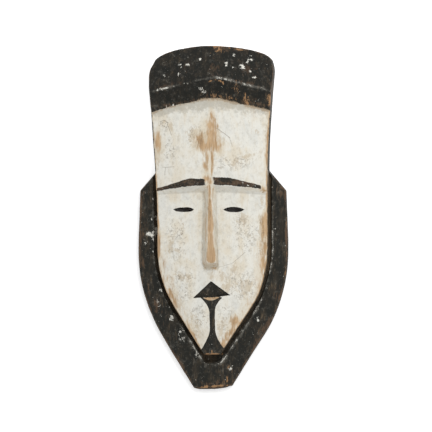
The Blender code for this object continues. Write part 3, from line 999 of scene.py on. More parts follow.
# Wear that follows the carving. Distances from the face's edge are in millimetres, and places on the
# mask and what is multiplied by mm in metres.
wear = {
    # marks fade down the walls, apart from chips on a stretch of the left wall: its middle and half
    "steepFrom": 0.6,
    "steepSpan": 0.3,
    "wallFrom": 1,
    "wallSpan": 3,
    "wallFade": 1.6,
    "chippedWall": (-0.013, 0.022),
    # black in the eyes and the mouth, and the bare lip under the mouth
    "cutSharpness": 3,
    "cutReach": 0.7,
    "lipStart": 0.6,
    "lipReach": 0.2,
    "lipClear": 0.2,
    "lipWood": (0.8, 0.75),
    # the bare ridge of the nose, pinched in on its left and its right, and its flanks
    "pinchPlaces": (-0.066, -0.050, 0.020, 0.045),
    "pinch": (0, mm, mm, 0.3 * mm),
    "pinchSides": (0.5, 1.6),
    "bottomRise": 0.0045,
    "ridgeWood": (0.45, 0.12),
    "flankWood": (0.3, 0.35, -0.12),
    # painted shade on the nose's flanks and under its end
    "flankPlaces": (tipY, -0.02, 0.03),
    "flankShade": (0.24, 0.14, -0.3),
    "underNose": 1.15,
    "underNoseRise": 0.001,
    "underNoseReach": 7 * mm,
    "underNoseHalf": 14 * mm,
    # bare wood along the face's edge, the jaws and the chin
    "woodFirmness": 4.0,
    "edgeInset": 0.4,
    "edgeReach": 1.9,
    "edgeWood": (0.76, 0.03),
    "jawsBelow": -0.03,
    "jawWood": 0.10,
    "jawReach": 42,
    "chinAbove": 0.0012,
    "chinReach": 0.0032,
    "chinHalf": 0.017,
    "woodOverEdge": 1.2,
    # wear on the crest, and chalk on the arris that is partly a painted highlight along it
    "crestDrop": 0.4 * mm,
    "crestReach": 2.5 * mm,
    "crestEdgeReach": 1.8,
    "crestEdgeWear": 0.8,
    "outerWear": 0.9,
    "arrisBoost": (2, 0.5),
    "arrisChalkAndHighlight": (0.42, 0.58),
    # tan line along the hairline
    "tanPlaces": (-100, -40, -8, 44, 56, 62, 92, 100),
    "tan": (0.3, 0.35, 0.75, 0.75, 0.3, 0.7, 0.75, 0.4),
    "tanFacing": 0.3,
    "tanDrop": 1.0,
    "tanReach": 3.4,
    # the brow's worn stretch, and how spread out stains and brown are
    "browSpan": (0.04, 0.08),
    "browWorn": 0.5,
    "stainFirmness": 6.0,
    "rimHeight": 0.5 * mm,
}


markFirmness = 12.0


# Marks that touch run into each other, the more so the lower the firmness
def markStrength(points, places, firmness=markFirmness):
    total = np.full(len(points), 1e-9)
    for x, y, halfAcross, halfAlong, turn in places.values():
        turn = math.radians(turn)
        dx, dy = points[:, 0] / mm - x, points[:, 1] / mm - y
        across = (dx * math.cos(turn) + dy * math.sin(turn)) / halfAcross
        along = (dy * math.cos(turn) - dx * math.sin(turn)) / halfAlong
        total += np.exp(firmness * (1 - np.hypot(across, along)))
    return np.clip(np.log(total) / firmness, -1, 1)


# Distance in millimetres inside a closed outline, less than zero outside it
def insideBy(points, ring):
    ring = np.asarray(ring)
    best = np.full(len(points), 1e9)
    inside = np.zeros(len(points), bool)
    x, y = points[:, 0], points[:, 1]
    for a, b in zip(ring, np.roll(ring, -1, axis=0)):
        edge = b - a
        t = np.clip(((x - a[0]) * edge[0] + (y - a[1]) * edge[1]) / max(edge @ edge, 1e-12), 0, 1)
        best = np.minimum(best, np.hypot(x - a[0] - t * edge[0], y - a[1] - t * edge[1]))
        crosses = (a[1] > y) != (b[1] > y)
        where = a[0] + (y - a[1]) * edge[0] / (edge[1] if abs(edge[1]) > 1e-12 else 1e-12)
        inside ^= crosses & (x < where)
    return np.where(inside, best, -best) / mm


def blackPaint(points, edge):
    p = paint
    x, y = points[:, 0] / mm, points[:, 1] / mm
    crest = y - hairlineAt(points[:, 0]) / mm
    left = x < 0
    reach = np.abs(x)
    thickTo = np.where(left, *p["browThickTo"])
    thinFrom = np.where(left, *p["browThinFrom"])
    share = np.clip((reach - thickTo) / (thinFrom - thickTo), 0, 1)
    thick = p["browThick"] + (np.where(left, *p["browThin"]) - p["browThick"]) * share
    inner = np.clip(thickTo - reach, 0, p["browInnerReach"])
    thick = thick - np.where(left, inner * p["browInnerThinning"], 0)
    lowered = p["browLowered"] * np.clip((reach - p["browLoweredFrom"]) / p["browLoweredOver"], 0, 1)
    above = y - browLineAt(points[:, 0]) / mm + np.where(left, lowered, -p["browRaised"])
    brow = np.minimum(above + p["browUnder"], thick - above)
    gapLeft, gapRight = p["browGap"]
    brow = np.minimum(brow, np.maximum(gapLeft - x, x - gapRight) * p["browGapSlope"])
    brow = np.minimum(brow, (np.where(left, *p["browEnd"]) - reach) * p["browEndSlope"])
    stemMiddle = np.interp(-y, p["stemPlaces"], p["stemMiddle"])
    (topFrom, topTo), (footFrom, footTo) = p["stemTop"], p["stemFoot"]
    topShare = np.clip((y - topTo) / (topFrom - topTo), 0, 1)
    footShare = np.clip((footFrom - y) / (footFrom - footTo), 0, 1)
    leftOfStem = x < stemMiddle
    flareBend = np.where(leftOfStem, *p["stemTopBend"])
    flare = np.where(leftOfStem, *p["stemTopFlare"]) * topShare**flareBend
    half = p["stemWaist"] + flare + p["stemFootFlare"] * footShare ** p["stemFootBend"]
    stem = np.minimum(half - np.abs(x - stemMiddle), topFrom + 1 - y)
    overEdge = np.where(left & (points[:, 1] > shoulderY), p["blackOverEdge"], 0)
    brow = brow * p["browSharpness"]
    return np.maximum.reduce([crest, edge + overEdge, brow, stem * p["stemSharpness"]])


# The points' notes are carried over to the cut mesh, and paint and wear are worked out on it
def paintMesh(mesh, oldPoints, notes, bend):
    w = wear
    tree = kdtree.KDTree(len(oldPoints))
    for i, point in enumerate(oldPoints):
        tree.insert(point, i)
    tree.balance()
    nearest = np.array([tree.find(v.co)[1] for v in mesh.vertices])
    points = np.array([v.co for v in mesh.vertices])
    x, y = points[:, 0], points[:, 1]
    edge = notes["edge"][nearest]
    arris, outer, groove, behind = (notes[k][nearest] for k in ("arris", "outer", "groove", "behind"))
    facing = np.abs([v.normal.z for v in mesh.vertices])
    steep = np.clip((w["steepFrom"] - facing) / w["steepSpan"], 0, 1)
    downWall = steep * np.clip((edge - w["wallFrom"]) / w["wallSpan"], 0, 1) * w["wallFade"]
    chippedAt, chippedHalf = w["chippedWall"]
    downWall[(x < 0) & (np.abs(y - chippedAt) < chippedHalf)] = 0

    def marked(kind, firmness=markFirmness):
        return np.clip(markStrength(points, marks[kind], firmness) - downWall, -1, 1)

    def blackened(black, inside):
        return np.where(front, np.maximum(black, inside * w["cutSharpness"] + w["cutReach"]), black)

    front = (behind == 0) & (edge <= 0)
    black = blackPaint(points, edge)
    mouthIn = insideBy(points, mouthOutline())
    black = blackened(black, mouthIn)
    lipLeft, lipRight = np.array(mouth["lipLeft"]), np.array(mouth["lipRight"])
    lipSlope = (lipRight - lipLeft)[1] / (lipRight - lipLeft)[0]
    belowLip = (lipLeft[1] + (x - lipLeft[0]) * lipSlope - y) / mm - w["lipStart"]
    lip = np.minimum(belowLip, mouthIn + w["lipReach"])
    black = np.where(lip > 0, -lip - w["lipClear"], black)
    for which in (0, 1):
        black = blackened(black, insideBy(points, np.column_stack(eyeOutline(which))))

    # The nose: its ridge down to its bottom, and its flanks
    footLeft, ridgeLeft, ridgeRight, footRight = noseLines(y)
    pinch = np.interp(y, w["pinchPlaces"], w["pinch"])
    pinchLeft, pinchRight = w["pinchSides"]
    onRidge = np.minimum(x - ridgeLeft - pinchLeft * pinch, ridgeRight - x - pinchRight * pinch) / mm
    across = np.clip((2 * x - ridgeLeft - ridgeRight) / (ridgeRight - ridgeLeft), -1, 1)
    bottom = tipY + w["bottomRise"] * across**2
    onNose = np.minimum(onRidge, np.minimum(browY - y, y - bottom) / mm)
    slope, least, most = w["flankWood"]
    flankWear = np.minimum(x - footLeft, footRight - x) / mm
    flankWear = np.minimum(flankWear, np.minimum(browY - y, y - noseEndY) / mm) * slope - least

    # Bare wood: marks, nose, edge, jaws, chin and lip
    hairY = hairlineAt(x)
    wood = markStrength(points, marks["wood"], w["woodFirmness"])
    slope, start = w["ridgeWood"]
    wood = np.maximum(wood, np.clip(onNose * slope + start, -1, 1))
    edgeWear = np.clip(1 - np.abs(edge + w["edgeInset"]) / w["edgeReach"], -1, 1)
    edgeWear = edgeWear * np.where(y < hairY, 1, 0)
    slope, start = w["edgeWood"]
    wood = np.maximum(wood, edgeWear * slope + start)
    wood = np.maximum(wood, np.where(y < w["jawsBelow"], w["jawWood"] + edge / w["jawReach"], -1))
    chinWear = np.clip(1 - np.abs(y - chinY - w["chinAbove"]) / w["chinReach"], -1, 1)
    wood = np.maximum(wood, np.where(np.abs(x) < w["chinHalf"], chinWear, -1))
    wood = np.maximum(wood, np.clip(lip * w["lipWood"][0], -1, w["lipWood"][1]))
    wood = np.maximum(wood, np.minimum(flankWear, most))
    wood = np.where(front | (edge < w["woodOverEdge"]), wood, -1)

    # The crest's ridge and edge, and the tan and greyed white below the hairline
    onCrest = np.exp(-((y - crestLineAt(x) + w["crestDrop"]) / w["crestReach"]) ** 2) * (edge < 0)
    crestEdge = np.exp(-(edge / w["crestEdgeReach"]) ** 2) * (y > hairY) * (behind == 0)
    crestEdge = crestEdge * w["crestEdgeWear"]
    below = (hairY - y) / mm
    tanHere = np.interp(x / mm, w["tanPlaces"], w["tan"])
    tanLine = tanHere - np.abs(below - w["tanDrop"]) / w["tanReach"]
    hairTan = np.where(facing > w["tanFacing"], tanLine, -1)
    sideShare = 1 - (x / greyBandAndShade["sideAt"]) ** 2
    bandReach = greyBandAndShade["reachAtSide"] + (greyBandAndShade["reach"] - greyBandAndShade["reachAtSide"]) * sideShare
    greyedBand = 1 - below / np.maximum(bandReach, greyBandAndShade["least"])
    greyedBand = np.where(front & (below > -greyBandAndShade["over"]), greyedBand, -1)

    # Painted shade under the nose and on its flanks, which joins the grey band below the hairline
    middleY = (tipY + noseEndY) / 2
    underNose = w["underNose"] - np.abs(y - middleY - w["underNoseRise"]) / w["underNoseReach"]
    underNose = np.where((np.abs(x) < w["underNoseHalf"]) & (y < tipY + mm), underNose, -1)
    onFlank = (x > footLeft) & (x < footRight) & (onRidge < 0)
    flankShade = np.where(onFlank, np.interp(y, w["flankPlaces"], w["flankShade"]), -1)
    underNose = np.where(y > noseEndY, np.maximum(underNose, flankShade), underNose)

    onBrow = front & (y > w["browSpan"][0]) & (y < w["browSpan"][1])
    slope, start = w["arrisBoost"]
    boost = np.clip(markStrength(points, marks["arris"]) * slope + start, 0, 1)
    plain, boosted = w["arrisChalkAndHighlight"]
    values = {
        # grey band below the hairline, and painted shade under the nose and on its flanks
        "greyBandAndShade": np.maximum(greyedBand, underNose),
        "groove": groove,
        "blackPaint": black,
        "bareWood": wood,
        "chalk": marked("chalk"),
        # chalk on the crest's ridge and the border's arris, partly a painted highlight along these edges
        "arrisChalkAndHighlight": np.maximum(onCrest, arris) * (plain + boosted * boost),
        "stain": marked("stain", w["stainFirmness"]),
        "scrape": marked("scrape"),
        "strokes": marked("strokes"),
        "sootAndShade": marked("sootAndShade"),
        "brown": markStrength(points, marks["brown"], w["stainFirmness"]),
        "browWorn": np.where(onBrow, w["browWorn"], -1),
        "hairTan": hairTan,
        "wornEdge": np.maximum(outer * w["outerWear"], crestEdge),
        "dirt": np.clip(markStrength(points, marks["dirt"]), 0, 1),
        "bend": np.where(points[:, 2] < w["rimHeight"], 0, bend[nearest]),
    }
    for name, value in values.items():
        attribute = mesh.attributes.new(name, "FLOAT", "POINT")
        attribute.data.foreach_set("value", np.ascontiguousarray(value, np.float32))


def crestLineAt(x):
    yMiddle, yEdge, bend, _, _, _, peak = sections["crest"]
    edge = faceHalfWidth(yEdge * halfLength)
    reach = np.where(x < peak, (peak - x) / (peak + edge), (x - peak) / (edge - peak))
    return (yMiddle + (yEdge - yMiddle) * np.clip(reach, 0, 1) ** bend) * halfLength


sharpestBend = 250  # radians per metre
sharpAngle = 42  # degrees


# How sharply the surface turns at each point: above zero on edges that stand out, below in corners
def surfaceBend(mesh):
    count = len(mesh.vertices)
    points = np.array([v.co for v in mesh.vertices])
    normals = np.array([v.normal for v in mesh.vertices])
    pairs = np.array([e.vertices for e in mesh.edges])
    a, b = pairs[:, 0], pairs[:, 1]
    gap = points[b] - points[a]
    turn = ((normals[b] - normals[a]) * gap).sum(axis=1) / np.maximum((gap**2).sum(axis=1), 1e-10)
    total = np.bincount(a, turn, count) + np.bincount(b, turn, count)
    edges = np.bincount(a, minlength=count) + np.bincount(b, minlength=count)
    return np.clip(total / np.maximum(edges, 1) / sharpestBend, -1, 1)


def buildMask(materials):
    points, outside, inside, notes = maskMesh()
    item = addMesh("carvedMask", points, outside + inside)
    for material in materials:
        item.data.materials.append(material)
    item.data.polygons.foreach_set("material_index", [0] * len(outside) + [1] * len(inside))
    points = roughen(item.data, notes)
    bend = surfaceBend(item.data)
    print("block carved:", len(points), "points")
    cutAway(item, [eyeCutter(0), eyeCutter(1), mouthCutter(carvedRows())])
    mesh = item.data
    paintMesh(mesh, points, notes, bend)
    mesh.shade_smooth()
    mesh.set_sharp_from_angle(angle=math.radians(sharpAngle))
    print("eyes and mouth cut:", sum(len(p.vertices) - 2 for p in mesh.polygons), "triangles")
    return item


# Shader building

def addNode(tree, kind, inputs=None, **settings):
    item = tree.nodes.new(kind)
    for name, value in settings.items():
        setattr(item, name, value)
    for name, value in (inputs or {}).items():
        if isinstance(value, bpy.types.NodeSocket):
            tree.links.new(value, item.inputs[name])
        else:
            item.inputs[name].default_value = value
    return item


def mathNode(tree, operation, a, b=0.0, clamp=False):
    return addNode(tree, "ShaderNodeMath", {0: a, 1: b}, operation=operation, use_clamp=clamp).outputs[0]


def ramp(tree, value, low, high, toLow=0.0, toHigh=1.0):
    inputs = {"Value": value, "From Min": low, "From Max": high, "To Min": toLow, "To Max": toHigh}
    return addNode(tree, "ShaderNodeMapRange", inputs, interpolation_type="SMOOTHSTEP").outputs[0]


def mixColour(tree, share, a, b, blend="MIX"):
    inputs = {0: share, 6: a, 7: b}
    return addNode(tree, "ShaderNodeMix", inputs, data_type="RGBA", blend_type=blend).outputs[2]


def vectorNode(tree, operation, a, b=None, output="Vector"):
    inputs = {0: a}
    if b is not None:
        inputs["Scale" if operation == "SCALE" else 1] = b
    return addNode(tree, "ShaderNodeVectorMath", inputs, operation=operation).outputs[output]


def noiseAt(tree, place, scale, stretch=(1, 1, 1), detail=3.0, roughness=0.55):
    moved = vectorNode(tree, "MULTIPLY", place, stretch)
    inputs = {"Vector": moved, "Scale": scale, "Detail": detail, "Roughness": roughness}
    return addNode(tree, "ShaderNodeTexNoise", inputs).outputs["Fac"]


def newGroup(name, inputs, outputs):
    group = bpy.data.node_groups.new(name, "ShaderNodeTree")
    for label, kind, default in inputs:
        socket = group.interface.new_socket(label, in_out="INPUT", socket_type=kind)
        if default is not None:
            socket.default_value = default
    for label, kind in outputs:
        group.interface.new_socket(label, in_out="OUTPUT", socket_type=kind)
    return group, group.nodes.new("NodeGroupInput"), group.nodes.new("NodeGroupOutput")


def useGroup(tree, group, inputs):
    return addNode(tree, "ShaderNodeGroup", inputs, node_tree=group)


# What is fixed inside the groups. A stretch below 1 draws the noise out along that axis.
textures = {
    "bands": (120.0, (1, 0.07, 1), 2.0),
    "fibreStretch": (1, 0.035, 1),
    "fibreDetail": (4.0, 0.6),
    "bandShare": 0.45,
    "fibreShare": 0.55,
    "toneSpan": (0.36, 0.64),
    "edgeDetail": (3.0, 0.6),
    "coarseScale": 0.3,  # of the fine noise
    "fineShare": 0.45,
    "coarseShare": 0.55,
    "speckDetail": (2.0, 0.5),
    "speckLevel": 0.80,
    "speckAmount": 0.28,
    "speckEdge": 0.05,
    "swirlScale": 160.0,
    "swirlDetail": 3.0,
    "swirl": (0.006, 0.006, 0.0),
    "crackSpan": (0.02, 0.13),
    "breaks": (150.0, (1, 1, 1), 3.0, 0.6),
    "breakSpan": (0.50, 0.60),
    "waverScale": 140.0,
    "flatten": (1, 1, 0),
}


# Long fibres that run up the mask, in two tones
def makeWoodGrain():
    t = textures
    group, given, out = newGroup(
        "woodGrain",
        [("Place", "NodeSocketVector", None), ("Light", "NodeSocketColor", (0.6, 0.4, 0.2, 1)),
         ("Dark", "NodeSocketColor", (0.3, 0.2, 0.1, 1)), ("Fibres", "NodeSocketFloat", 900.0)],
        [("Color", "NodeSocketColor"), ("Fibre", "NodeSocketFloat")],
    )
    place, light, dark, fibres = (given.outputs[k] for k in ("Place", "Light", "Dark", "Fibres"))
    bands = noiseAt(group, place, *t["bands"])
    fibre = noiseAt(group, place, fibres, t["fibreStretch"], *t["fibreDetail"])
    bandTone = mathNode(group, "MULTIPLY", bands, t["bandShare"])
    tone = mathNode(group, "ADD", bandTone, mathNode(group, "MULTIPLY", fibre, t["fibreShare"]))
    colour = mixColour(group, ramp(group, tone, *t["toneSpan"]), dark, light)
    group.links.new(colour, out.inputs["Color"])
    group.links.new(fibre, out.inputs["Fibre"])
    return group


# A signed strength turned into a mask with a ragged edge
def makeRaggedMask():
    t = textures
    group, given, out = newGroup(
        "raggedMask",
        [("Place", "NodeSocketVector", None), ("Strength", "NodeSocketFloat", 0.0),
         ("Softness", "NodeSocketFloat", 0.1), ("Raggedness", "NodeSocketFloat", 0.5),
         ("Grain", "NodeSocketFloat", 400.0), ("Stretch", "NodeSocketVector", (1, 1, 1))],
        [("Mask", "NodeSocketFloat")],
    )
    names = ("Place", "Strength", "Softness", "Raggedness", "Grain", "Stretch")
    place, strength, softness, raggedness, grain, stretch = (given.outputs[k] for k in names)
    coarseGrain = mathNode(group, "MULTIPLY", grain, t["coarseScale"])
    fine = noiseAt(group, place, grain, stretch, *t["edgeDetail"])
    coarse = noiseAt(group, place, coarseGrain, stretch, *t["edgeDetail"])
    fine = mathNode(group, "MULTIPLY", fine, t["fineShare"])
    rough = mathNode(group, "ADD", fine, mathNode(group, "MULTIPLY", coarse, t["coarseShare"]))
    offset = mathNode(group, "MULTIPLY", mathNode(group, "SUBTRACT", rough, 0.5), raggedness)
    value = mathNode(group, "ADD", strength, offset)
    mask = ramp(group, value, mathNode(group, "MULTIPLY", softness, -1.0), softness)
    group.links.new(mask, out.inputs["Mask"])
    return group


# Scattered small spots, more of them where Amount is higher
def makeSpecks():
    t = textures
    group, given, out = newGroup(
        "specks",
        [("Place", "NodeSocketVector", None), ("Grain", "NodeSocketFloat", 500.0),
         ("Amount", "NodeSocketFloat", 0.3), ("Stretch", "NodeSocketVector", (1, 1, 1))],
        [("Mask", "NodeSocketFloat")],
    )
    place, grain, amount, stretch = (given.outputs[k] for k in ("Place", "Grain", "Amount", "Stretch"))
    rough = noiseAt(group, place, grain, stretch, *t["speckDetail"])
    more = mathNode(group, "MULTIPLY", amount, t["speckAmount"])
    start = mathNode(group, "SUBTRACT", t["speckLevel"], more)
    end = mathNode(group, "ADD", start, t["speckEdge"])
    group.links.new(ramp(group, rough, start, end), out.inputs["Mask"])
    return group


# Broken fine lines, as in old paint that has crazed
def makeCrackle():
    t = textures
    group, given, out = newGroup(
        "crackle",
        [("Place", "NodeSocketVector", None), ("Grain", "NodeSocketFloat", 200.0)],
        [("Mask", "NodeSocketFloat")],
    )
    place = given.outputs["Place"]
    inputs = {"Vector": place, "Scale": t["swirlScale"], "Detail": t["swirlDetail"]}
    swirl = addNode(group, "ShaderNodeTexNoise", inputs)
    shift = vectorNode(group, "MULTIPLY", swirl.outputs["Color"], t["swirl"])
    flat = vectorNode(group, "MULTIPLY", vectorNode(group, "ADD", place, shift), t["flatten"])
    inputs = {"Vector": flat, "Scale": given.outputs["Grain"]}
    cells = addNode(group, "ShaderNodeTexVoronoi", inputs, feature="DISTANCE_TO_EDGE")
    lines = ramp(group, cells.outputs["Distance"], *t["crackSpan"], 1.0, 0.0)
    broken = noiseAt(group, place, *t["breaks"])
    mask = mathNode(group, "MULTIPLY", lines, ramp(group, broken, *t["breakSpan"]))
    group.links.new(mask, out.inputs["Mask"])
    return group


# A thin wavering line from one point of the mask to another, in metres
def makeScratch():
    t = textures
    group, given, out = newGroup(
        "scratch",
        [("Place", "NodeSocketVector", None), ("Start", "NodeSocketVector", (0, 0, 0)),
         ("End", "NodeSocketVector", (0, 0.01, 0)), ("Width", "NodeSocketFloat", 0.0005),
         ("Waver", "NodeSocketFloat", 0.002)],
        [("Mask", "NodeSocketFloat")],
    )
    place, start, end, width = (given.outputs[k] for k in ("Place", "Start", "End", "Width"))
    wavy = addNode(group, "ShaderNodeTexNoise", {"Vector": place, "Scale": t["waverScale"]})
    centred = vectorNode(group, "SUBTRACT", wavy.outputs["Color"], (0.5, 0.5, 0.5))
    shift = vectorNode(group, "SCALE", centred, given.outputs["Waver"])
    flat = vectorNode(group, "MULTIPLY", vectorNode(group, "ADD", place, shift), t["flatten"])
    fromStart = vectorNode(group, "SUBTRACT", flat, start)
    line = vectorNode(group, "SUBTRACT", end, start)
    dot = vectorNode(group, "DOT_PRODUCT", fromStart, line, "Value")
    length = vectorNode(group, "DOT_PRODUCT", line, line, "Value")
    foot = vectorNode(group, "SCALE", line, mathNode(group, "DIVIDE", dot, length, clamp=True))
    gap = vectorNode(group, "DISTANCE", fromStart, foot, "Value")
    group.links.new(ramp(group, gap, 0.0, width, 1.0, 0.0), out.inputs["Mask"])
    return group


groups = {
    "woodGrain": makeWoodGrain(),
    "raggedMask": makeRaggedMask(),
    "specks": makeSpecks(),
    "crackle": makeCrackle(),
    "scratch": makeScratch(),
}


def newMaterial(name):
    material = bpy.data.materials.new(name)
    material.use_nodes = True
    tree = material.node_tree
    place = addNode(tree, "ShaderNodeTexCoord").outputs["Object"]
    return material, tree, tree.nodes["Principled BSDF"], place


def meshValue(tree, name):
    given = addNode(tree, "ShaderNodeAttribute", attribute_type="GEOMETRY", attribute_name=name)
    return given.outputs["Fac"]


paintLooks = {
    "white": (0.735, 0.722, 0.660, 1),
    "cream": (0.670, 0.605, 0.485, 1),
    "cool": (0.640, 0.640, 0.600, 1),
    "woodLight": (0.560, 0.385, 0.220, 1),
    "woodDark": (0.340, 0.205, 0.100, 1),
    "woodGrime": (0.250, 0.175, 0.105, 1),
    "thinWhite": (0.640, 0.555, 0.415, 1),
    "black": (0.0165, 0.0170, 0.0142, 1),
    "blackWorn": (0.044, 0.037, 0.028, 1),
    "brownWood": (0.110, 0.068, 0.042, 1),
    "orangeWood": (0.360, 0.205, 0.100, 1),
    "grooveBrown": (0.230, 0.165, 0.100, 1),
    # near black for soot, and for the painted shade in the recess under the chin
    "sootAndShade": (0.008, 0.008, 0.007, 1),
    "hairTan": (0.330, 0.245, 0.160, 1),
    "chalk": (0.740, 0.720, 0.650, 1),
    "chalkThin": (0.190, 0.180, 0.155, 1),
    # colour of the grey band below the hairline and of the painted shade at the nose
    "greyBandAndShade": (0.400, 0.375, 0.315, 1),
    "dirt": (0.330, 0.300, 0.245, 1),
    "mottle": (0.400, 0.350, 0.280, 1),
    "stain": (0.500, 0.415, 0.300, 1),
    "speck": (0.205, 0.168, 0.128, 1),
    "roughPaint": 0.82,
    "roughBlack": 0.72,
    "roughWood": 0.70,
    "specular": 0.15,
    "fibres": 700.0,
    "specks": {"Grain": 360.0, "Stretch": (1, 0.7, 1)},
    "dust": {"Grain": 380.0, "Amount": 0.54, "Stretch": (1, 0.5, 1)},
    "crackGrain": 170.0,
    "speckShare": 0.42,
    "dustShare": 0.24,
    "scratchShare": 0.8,
    # how much each pattern stands out or is sunk, and the relief's strength and depth
    "fibreHeight": 0.5,
    "blotchHeight": 0.8,
    "woodHeight": -0.35,
    "speckHeight": -0.3,
    "chalkHeight": 0.3,
    "relief": {"Strength": 0.6, "Distance": 0.0006},
}
# Noise in the paint: its scale, how it is stretched, its detail and its roughness
paintNoise = {
    "tone": (34.0, (1, 0.6, 1), 5.0, 0.6),
    "brushed": (260.0, (1, 0.10, 1), 4.0),
    "blotch": (130.0, (1, 0.75, 1), 8.0, 0.72),
    "mottle": (240.0, (1, 0.7, 1), 5.0, 0.65),
    "thin": (70.0, (1, 0.35, 1), 5.0, 0.6),
}
# How a value becomes a share: from where to where it counts, and the shares at both
paintSpans = {
    "cream": (0.46, 0.66, 0.0, 0.75),
    "cool": (0.34, 0.48, 0.6, 0.0),
    "brushed": (0.50, 0.72, 0.0, 0.40),
    "blotch": (0.49, 0.66),
    "blotchByDirt": (0.0, 0.6, 0.26, 0.46),
    "mottle": (0.55, 0.67),
    "mottleByDirt": (0.0, 0.7, 0.20, 0.75),
    "specksByDirt": (0.0, 0.8, 0.22, 0.50),
    "cracksByDirt": (0.0, 0.5, 0.10, 0.55),
    "grime": (0.46, 0.60),
    "grimeByDirt": (0.0, 0.7, 0.0, 0.6),
    "thinBlack": (0.48, 0.72, 0.0, 0.6),
    "groove": (0.35, 0.65),
    # painted shade in concave corners
    "corners": (-0.9, -0.1, 0.35, 0.0),
    "sheen": (0.3, 0.7, -0.08, 0.08),
}
# Layers that wear: the mesh value that each follows, what is taken off it, how soft and how ragged
# its edge is, the size and the stretch of its grain, and how much of it shows
paintLayers = {
    # the grey band below the hairline, and the painted shade under and beside the nose
    "greyBandAndShade": ("greyBandAndShade", 0.05, 0.50, 4.2, 240.0, (1, 0.9, 1), 0.66),
    "stain": ("stain", 0.35, 0.40, 6.5, 330.0, (1, 0.6, 1), 0.62),
    "thinWhite": ("bareWood", -0.22, 0.50, 3.4, 210.0, (1, 0.4, 1), 0.55),
    "wood": ("bareWood", 0.22, 0.44, 4.6, 330.0, (1, 0.20, 1), 0.92),
    "browned": ("brown", 0.62, 0.45, 9.0, 520.0, (1, 0.16, 1), 0.7),
    "browWorn": ("browWorn", 0.62, 0.60, 7.0, 300.0, (0.5, 1, 1), 0.7),
    "groove": ("groove", 0.42, 0.55, 2.6, 300.0, (1, 0.3, 1), 0.9),
    # soot, and painted shade in the recess under the chin
    "sootAndShade": ("sootAndShade", 0.0, 0.12, 0.4, 300.0, (1, 1, 1), 0.40),
    "worn": ("wornEdge", 0.72, 0.28, 4.0, 200.0, (1, 0.35, 1), 0.8),
    "wornThrough": ("wornEdge", 1.25, 0.20, 4.0, 160.0, (1, 0.5, 1), 0.5),
    "scraped": ("scrape", 0.30, 0.30, 4.5, 480.0, (1, 0.25, 1), 0.85),
    "strokes": ("strokes", 1.0, 0.16, 8.0, 900.0, (1, 0.10, 1), 0.65),
    # a thin light line along every arris, partly a painted highlight, and thick chalk where marked
    "arrisThin": ("arrisChalkAndHighlight", 0.34, 0.30, 2.6, 260.0, (1, 1, 1), 0.42),
    "arrisThick": ("arrisChalkAndHighlight", 0.95, 0.20, 5.0, 520.0, (1, 1, 1), 0.85),
    "chalk": ("chalk", 0.26, 0.22, 7.5, 640.0, (1, 1, 1), 0.95),
    "black": ("blackPaint", 0.0, 0.70, 7.0, 330.0, (1, 0.5, 1), 1.0),
    "hairTan": ("hairTan", 0.12, 0.35, 4.0, 330.0, (1, 0.45, 1), 0.7),
}
# Cracks and scratches in the white: start, end and width in metres
scratches = (
    ((0.0105, 0.1560, 0), (0.0330, 0.1400, 0), 0.0008),
    ((0.0330, 0.1400, 0), (0.0380, 0.1240, 0), 0.0006),
    ((-0.0850, 0.0880, 0), (-0.0640, 0.0885, 0), 0.0007),
    ((-0.0800, 0.0880, 0), (-0.0805, 0.0740, 0), 0.0007),
    ((-0.0899, 0.1680, 0), (-0.0821, 0.1702, 0), 0.0009),
    ((-0.0821, 0.1702, 0), (-0.0754, 0.1658, 0), 0.0009),
    ((-0.0754, 0.1658, 0), (-0.0776, 0.1569, 0), 0.0008),
    ((-0.0776, 0.1569, 0), (-0.0865, 0.1613, 0), 0.0008),
    ((-0.0750, 0.1600, 0), (-0.0690, 0.1440, 0), 0.0008),
    ((0.0580, -0.0610, 0), (0.0376, -0.0787, 0), 0.0005),
    ((0.0376, -0.0787, 0), (0.0145, -0.0862, 0), 0.0004),
)


